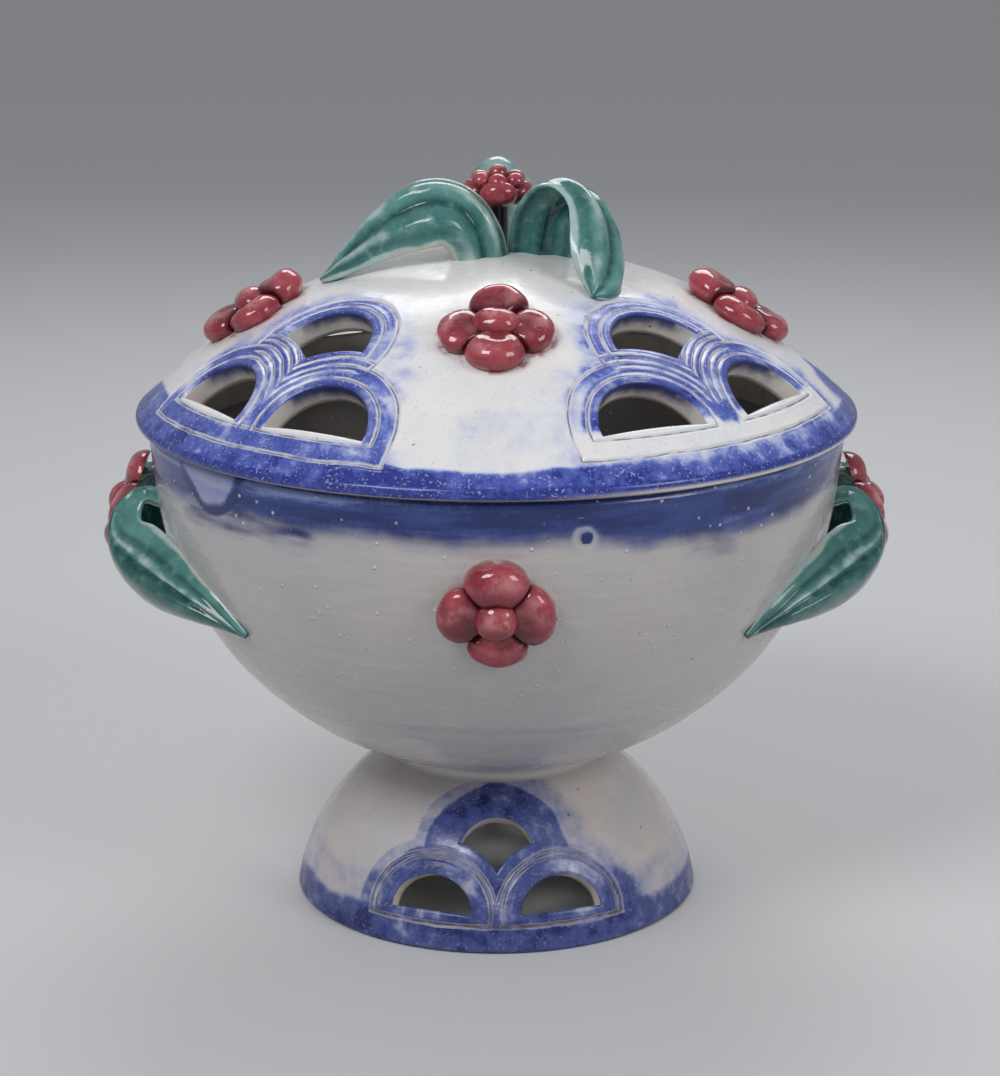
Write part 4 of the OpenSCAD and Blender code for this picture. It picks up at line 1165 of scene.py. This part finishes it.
# rows of a handle leaf: turn, stand-off as a share, height, outward direction, width, cup and fold
HANDLE_RIDGE = -0.018
HANDLE_LEAF = [
    [8.5, -0.1, 141, 0.1, -0.05, 1, 12, 0, 0], [8.5, 0.38, 143.5, 0.5, -0.2, 0.9, 13, 0, 0.02],
    [9.3, 0.85, 139.3, 0.8, -0.5, 0.35, 15.5, 0, 0.12], [12.0, 1.34, 132, 0.72, -0.68, 0.12, 20, 0, 0.27],
    [18.5, 1.3, 124, 0.66, -0.74, 0.05, 28, 0, 0.36], [28.5, 0.68, 118.5, 0.62, -0.72, 0, 19.5, 0, 0.32],
    [36.2, 0.16, 113.5, 0.66, -0.68, -0.2, 10, 0, 0.15], [41, 0.05, 109.5, 0.68, -0.62, -0.4, 2.4, 0, 0]]
leaf_material = leaf_glaze()


def lid_z(x, y):
    return LID_CZ + math.sqrt(LID_R ** 2 - x * x - y * y)


def on_bowl(row):
    """A row of a handle leaf with its turn and stand-off made into x and y."""
    r, t = bowl_r(row[2]) + row[1] * HANDLE_STAND, math.radians(row[0])
    return [r * math.cos(t), -r * math.sin(t), *row[2:]]


for k, (side, (ridge, kind, spread, rows)) in enumerate(KNOB_LEAVES.items()):
    rows = [[x, y, lid_z(x, y) + rise * KNOB_RISE, *out, width * KNOB_LEAF_W, cup, fold]
            for x, y, rise, *out, width, cup, fold in rows]
    leaf = leaf_mesh(rows, ridge, kind, 200 + 10 * k, spread)
    piece(f"knob_leaf_{side}", "lid", "leaf_glaze", leaf_material, *leaf)
for side, sx in (("left", -1), ("right", 1)):
    for depth, sy in (("front", 1), ("back", -1)):
        rows = [on_bowl(row) for row in HANDLE_LEAF]
        seed = 300 + 20 * (sx > 0) + 10 * (sy > 0)
        points, quads, tris, paint = leaf_mesh(rows, HANDLE_RIDGE, FOLDED, seed)
        if sx * sy < 0:
            quads, tris = quads[:, ::-1], tris[:, ::-1]
        points = points * [sx, sy, 1]
        piece(f"handle_{side}_leaf_{depth}", "vase", "leaf_glaze", leaf_material, points, quads, tris, paint)


# Flowers
def ball(columns=44, bands=30):
    """Unit sphere as rings, with the poles along Y."""
    a = np.linspace(0, math.pi, bands + 1)[1:-1, None]
    b = 2 * math.pi * np.arange(columns) / columns
    rings = np.stack([np.sin(a) * np.cos(b), np.repeat(np.cos(a), columns, 1), np.sin(a) * np.sin(b)], -1)
    points = np.vstack([rings.reshape(-1, 3), [0, 1, 0], [0, -1, 0]])
    rows, ring = bands - 1, np.arange(columns)
    tris = np.vstack([fan(rows * columns, ring)[:, FAN_OTHER_WAY],
                      fan(rows * columns + 1, (rows - 1) * columns + ring)])
    return points, *faced_out(points, ring_grid(rows, columns), tris, 0)


BALL = ball()


def soft_limit(x, limit, k):
    """x kept below limit with a rounded shoulder of size k."""
    return x - k * np.log1p(np.exp(np.clip((x - limit) / k, -40, 40)))


def petal_shape(turn, seed, lift=1.6, size=(1.0, 1.0, 1.0), dent=0.7, pleat=0.0):
    """A petal pinched between finger and thumb, kept in its quarter; size is outward, across and up."""
    rng = np.random.default_rng(seed)
    p, quads, tris = BALL
    vary = np.array(size) * (1 + 0.03 * rng.standard_normal(3))
    x = p[:, 0] * PETAL_T / 2 * 1.06 * vary[0] * (1 + 0.10 * p[:, 2])
    y = p[:, 1] * PETAL_L / 2 * 1.08 * vary[1]
    z = p[:, 2] * PETAL_T / 2 * 0.98 * vary[2] + lift
    x = x + PETAL_REACH + 0.25 * rng.standard_normal()
    y = y + 0.35 * rng.standard_normal()
    limit = np.maximum(x * 1.02 - 0.25, 0.25)
    y = np.sign(y) * np.maximum(soft_limit(np.abs(y), limit, 0.55), 0)
    front = smooth(-0.1, 0.4, p[:, 2])
    press = bell(x - PETAL_REACH + 1.2, 3.4) * bell(y - 1.2 * rng.standard_normal(), 4.6)
    pinch = bell(x - 4.5, 3.2) * bell(y, 1.6)
    uneven = 0.5 * noise(np.stack([y, y, y], -1), 3.0, seed)
    wave = np.cos((x + 0.06 * y * y - PETAL_REACH) * 2 * math.pi / 4.6 + uneven)
    z = z - front * (dent * press + 0.9 * pinch - 0.5 * pleat * wave)
    points = np.stack([x, y, z], -1)
    bumps = 0.4 * noise(points + 31 * seed, 7.0, seed) + 0.15 * noise(points + 31 * seed, 3.0, seed + 1)
    points = points + p * bumps[:, None]
    # painted shade: darker in the creases between petals, round the bead, in a deep thumb press and on the
    # underside
    painted_flower_shade = np.exp(-np.maximum(limit - np.abs(y), 0) / 1.2) + np.exp(-np.maximum(x - 4.2, 0) / 2.3)
    painted_flower_shade = painted_flower_shade + 0.5 * press * front * (dent > 1) + 0.55 * smooth(-0.2, -0.7, p[:, 2])
    # wear on the raised outer face and on the crests of pleats; later kept to the upper side as painted light
    wear_and_light = smooth(0.35, 0.95, p[:, 2]) * (1 - 0.8 * press) + pleat * front * smooth(0.6, 1.0, wave)
    c, s = math.cos(math.radians(turn)), math.sin(math.radians(turn))
    points = points @ np.array([[c, s, 0], [-s, c, 0], [0, 0, 1]])
    return points, quads, tris, np.clip(painted_flower_shade, 0, 1), np.clip(wear_and_light, 0, 1)


PLAIN_BEAD, FLAT_BEAD, BERRY = (1.02, 1.05, 0.92), (0.90, 1.2, 0.72), (1.02, 1.05, 0.96)


def bead_shape(d, lift, seed, size):
    p, quads, tris = BALL
    points = p * d / 2 * np.array(size)
    points = points + p * (0.3 * noise(points + 13 * seed, 5.5, seed))[:, None]
    points[:, 2] += lift
    # painted shade on the underside of a bead; pale wear and painted light on its outer top
    return points, quads, tris, smooth(0.25, -0.5, p[:, 2]), smooth(0.4, 1.0, p[:, 2])


def join(parts):
    """Several shapes as one."""
    count, joined = 0, []
    for points, quads, tris, painted_flower_shade, wear_and_light in parts:
        joined.append((points, quads + count, tris + count, painted_flower_shade, wear_and_light))
        count += len(points)
    return [np.concatenate(column) for column in zip(*joined)]


def to_frame(points, place):
    o, x, y, z = place
    return o + points[:, :1] * x + points[:, 1:2] * y + points[:, 2:3] * z


def flower_glaze():
    """Crimson glaze, with painted shade in the creases, underneath and on lower sides, and worn to pink and
    white on what stands out, with painted light on upper sides.
    """
    g = Graph("flower_glaze")
    wear_and_light = g.attr("wear_and_light")
    mid, fine, big = g.noise(4.2, 4, 0.6), g.noise(1.1, 3), g.noise(11, 3)
    col = g.mix(g.step(big, 0.36, 0.64), (0.26, 0.027, 0.042), (0.40, 0.062, 0.082))
    col = g.tint(col, g.step(mid, 0.50, 0.70), (0.47, 0.095, 0.12), 0.5)
    # pink and white wear on raised parts, with painted light on upper sides
    col = g.tint(col, g.mul(wear_and_light, g.step(g.noise(6.5, 4, 0.6), 0.42, 0.62)), (0.62, 0.27, 0.285), 0.85)
    thin = g.mul(wear_and_light, g.step(g.noise(2.6, 3, 0.6, distort=0.6), 0.62, 0.72))
    col = g.tint(col, thin, (0.68, 0.46, 0.44), 0.6)
    # painted shade in creases, underneath and on lower sides
    col = g.tint(col, g.attr("painted_flower_shade"), (0.070, 0.004, 0.011), 0.92)
    col = g.tint(col, g.step(fine, 0.60, 0.72), (0.13, 0.010, 0.020), 0.25)
    bumps = [(g.noise(3.4, 3, 0.5), 0.5, 0.2), (fine, 0.12, 0.08)]
    return g.finish(col, (5, 0.05, 0.11), bumps, coat=0.25)


def stalk_glaze():
    """Green and crimson run together."""
    g = Graph("stalk_glaze")
    col = g.mix(g.step(g.noise(5, 4), 0.38, 0.62), (0.010, 0.045, 0.045), (0.075, 0.010, 0.018))
    return g.finish(col, (4, 0.1, 0.2), [(g.noise(3, 3), 0.4, 0.2)], coat=0.15)


flower_material = flower_glaze()
# petals from the lowest one round
PLAIN_PETALS = [{}, {}, {}, {}]
LID_PETALS = [dict(size=(1.10, 1.0, 0.80), dent=1.4), dict(size=(1.04, 0.92, 0.74), dent=1.3),
              dict(size=(1.10, 0.98, 0.90), dent=1.8, lift=3.0), dict(size=(1.02, 0.92, 0.74), dent=1.3)]
BOWL_PETALS = [dict(size=(0.92, 0.94, 0.74), dent=0.5, pleat=0.9), dict(size=(1.02, 0.96, 0.90), dent=1.2),
               dict(size=(0.98, 1.0, 0.98), dent=0.3), dict(size=(1.02, 0.96, 0.88), dent=1.5)]


def placed_with_painted_light_and_shade(shape, place, sink):
    """A part of a flower in place, with painted shade on its lower side and painted light on its upper side.
    """
    points, quads, tris, painted_flower_shade, wear_and_light = shape
    points = points - [0, 0, sink]
    if sink:
        points[:, 2] = np.maximum(points[:, 2], 0.06)
    points = to_frame(points, place)
    up = points[:, 2] - points[:, 2].mean()
    # painted shade: darker towards the bottom of each part
    painted_flower_shade = np.clip(painted_flower_shade + 0.6 * smooth(1.0, -7.0, up), 0, 1)
    # painted light: the pale wear is kept to the upper side of each part
    return points, quads, tris, painted_flower_shade, wear_and_light * smooth(-4.0, 3.0, up)


def flower_piece(node, body, points, quads, tris, painted_flower_shade, wear_and_light):
    paint = {"painted_flower_shade": painted_flower_shade, "wear_and_light": wear_and_light}
    piece(node, body, "flower_glaze", flower_material, points, quads, tris, paint)


def flower(name, place, body, seed, petals=PLAIN_PETALS, sink=0.0, bead_size=PLAIN_BEAD):
    """Four petals round a bead."""
    parts = [placed_with_painted_light_and_shade(petal_shape(k * 90, seed + k, **petals[k]), place, sink) for k in range(4)]
    flower_piece(f"{name}_petals", body, *join(parts))
    bead = bead_shape(BEAD_D, BEAD_LIFT, seed + 9, bead_size)
    flower_piece(f"{name}_bead", body, *placed_with_painted_light_and_shade(bead, place, sink))


for k, (side, place) in enumerate(lid_flower_frames.items()):
    flower(f"lid_flower_{side}", place, "lid", 400 + 20 * k, LID_PETALS, bead_size=FLAT_BEAD)
for k, (side, place) in enumerate(bowl_flower_frames.items()):
    flower(f"bowl_flower_{side}", place, "vase", 500 + 20 * k, BOWL_PETALS)
for k, (side, sx) in enumerate((("left", -1), ("right", 1))):
    a = math.radians(90 - HANDLE_TIP)
    o = np.array([sx * (bowl_r(HANDLE_WALL_Z) + 0.6 * HANDLE_STAND + LEAF_T / 2 + 0.5), 0, HANDLE_FLOWER_Z])
    x, z = np.array([sx * math.cos(a), 0, -math.sin(a)]), np.array([sx * math.sin(a), 0, math.cos(a)])
    flower(f"handle_{side}", (o, x, np.cross(z, x), z), "vase", 600 + 20 * k, sink=HANDLE_SINK)

# Flower, berries and stalk of the knob
HEAD_SHARE, TOP_BERRY_LIFT = 0.64, 2.4 + 0.12 - 0.3
head = (np.array([0.5, 8.0, CROWN_Z + 19.0]), *np.eye(3))
points, quads, tris, painted_flower_shade, wear_and_light = join([petal_shape(k * 90 - 90, 700 + k, lift=-1.0) for k in range(4)])
# the knob's petals get more painted shade all over and half the wear and painted light, as they sit under the
# berries
flower_piece("knob_petals", "lid", to_frame(HEAD_SHARE * points, head), quads, tris,
             np.clip(painted_flower_shade + 0.15, 0, 1), 0.5 * wear_and_light)
berries = []
for k in range(7):
    points, *rest = bead_shape(BERRY_D * 1.06, 0, 720 + k, BERRY)
    a = math.radians((k + 0.5) * 60)
    at = [BERRY_RING * math.cos(a), BERRY_RING * math.sin(a), BERRY_D / 2]
    if k == 6:
        at = [0, 0, TOP_BERRY_LIFT + BERRY_D / 2]
    berries.append((points + at, *rest))
points, quads, tris, painted_flower_shade, wear_and_light = join(berries)
flower_piece("knob_berries", "lid", to_frame(points, head), quads, tris, 0.8 * painted_flower_shade, wear_and_light)
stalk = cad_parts["knob_stalk"]
stalk.data.materials.clear()
stalk.data.materials.append(stalk_glaze())

# Floor, light and camera
FLOOR_HALF = 4.0
mesh = bpy.data.meshes.new("floor")
floor_corners = [(x * FLOOR_HALF, y * FLOOR_HALF, 0) for x, y in ((-1, -1), (1, -1), (1, 1), (-1, 1))]
mesh.from_pydata(floor_corners, [], [(0, 1, 2, 3)])
floor = bpy.data.objects.new("floor", mesh)
bpy.context.scene.collection.objects.link(floor)
floor_material = bpy.data.materials.new("floor")
floor_material.use_nodes = True
floor_inputs = floor_material.node_tree.nodes["Principled BSDF"].inputs
floor_inputs["Base Color"].default_value = (0.62, 0.62, 0.63, 1)
floor_inputs["Roughness"].default_value = 0.6
mesh.materials.append(floor_material)


def area(name, location, look, size, power):
    """A rectangular lamp that points at look."""
    light = bpy.data.lights.new(name, "AREA")
    light.shape = "RECTANGLE"
    light.size, light.size_y = size
    light.energy = power
    ob = bpy.data.objects.new(name, light)
    ob.location = location
    ob.rotation_euler = (Vector(look) - Vector(location)).to_track_quat("-Z", "Y").to_euler()
    bpy.context.scene.collection.objects.link(ob)


area("key", (-0.55, -0.75, 1.05), (0, 0, 0.15), (0.55, 0.40), 7)
area("fill", (0.95, -0.70, 0.75), (0, 0, 0.13), (0.50, 0.50), 4.5)
area("back", (0.10, 0.85, 0.95), (0, 0, 0.18), (0.9, 0.4), 5)
world = bpy.data.worlds.new("studio")
bpy.context.scene.world = world
world.use_nodes = True
world_inputs = world.node_tree.nodes["Background"].inputs
world_inputs["Color"].default_value = (0.80, 0.82, 0.86, 1)
world_inputs["Strength"].default_value = 0.38

# camera worked out from the photo: focal length and the vase's axis in its pixels, place in metres
FOCAL_PX, IMAGE_W, IMAGE_H, AXIS_PX = 2765.0, 1000, 1076, 496.5
CAMERA_AT, CAMERA_TILT, SENSOR_H = (0, -0.9073, 0.3726), 15.4, 36.0
camera = bpy.data.cameras.new("camera")
camera.sensor_fit = "VERTICAL"
camera.sensor_height = SENSOR_H
camera.lens = FOCAL_PX * SENSOR_H / IMAGE_H
camera.shift_x = (IMAGE_W / 2 - AXIS_PX) / IMAGE_H
camera.clip_end = 30
camera_object = bpy.data.objects.new("camera", camera)
camera_object.location = CAMERA_AT
camera_object.rotation_euler = (math.radians(90 - CAMERA_TILT), 0, 0)
bpy.context.scene.collection.objects.link(camera_object)
bpy.context.scene.camera = camera_object
bpy.context.scene.view_settings.view_transform = "Standard"
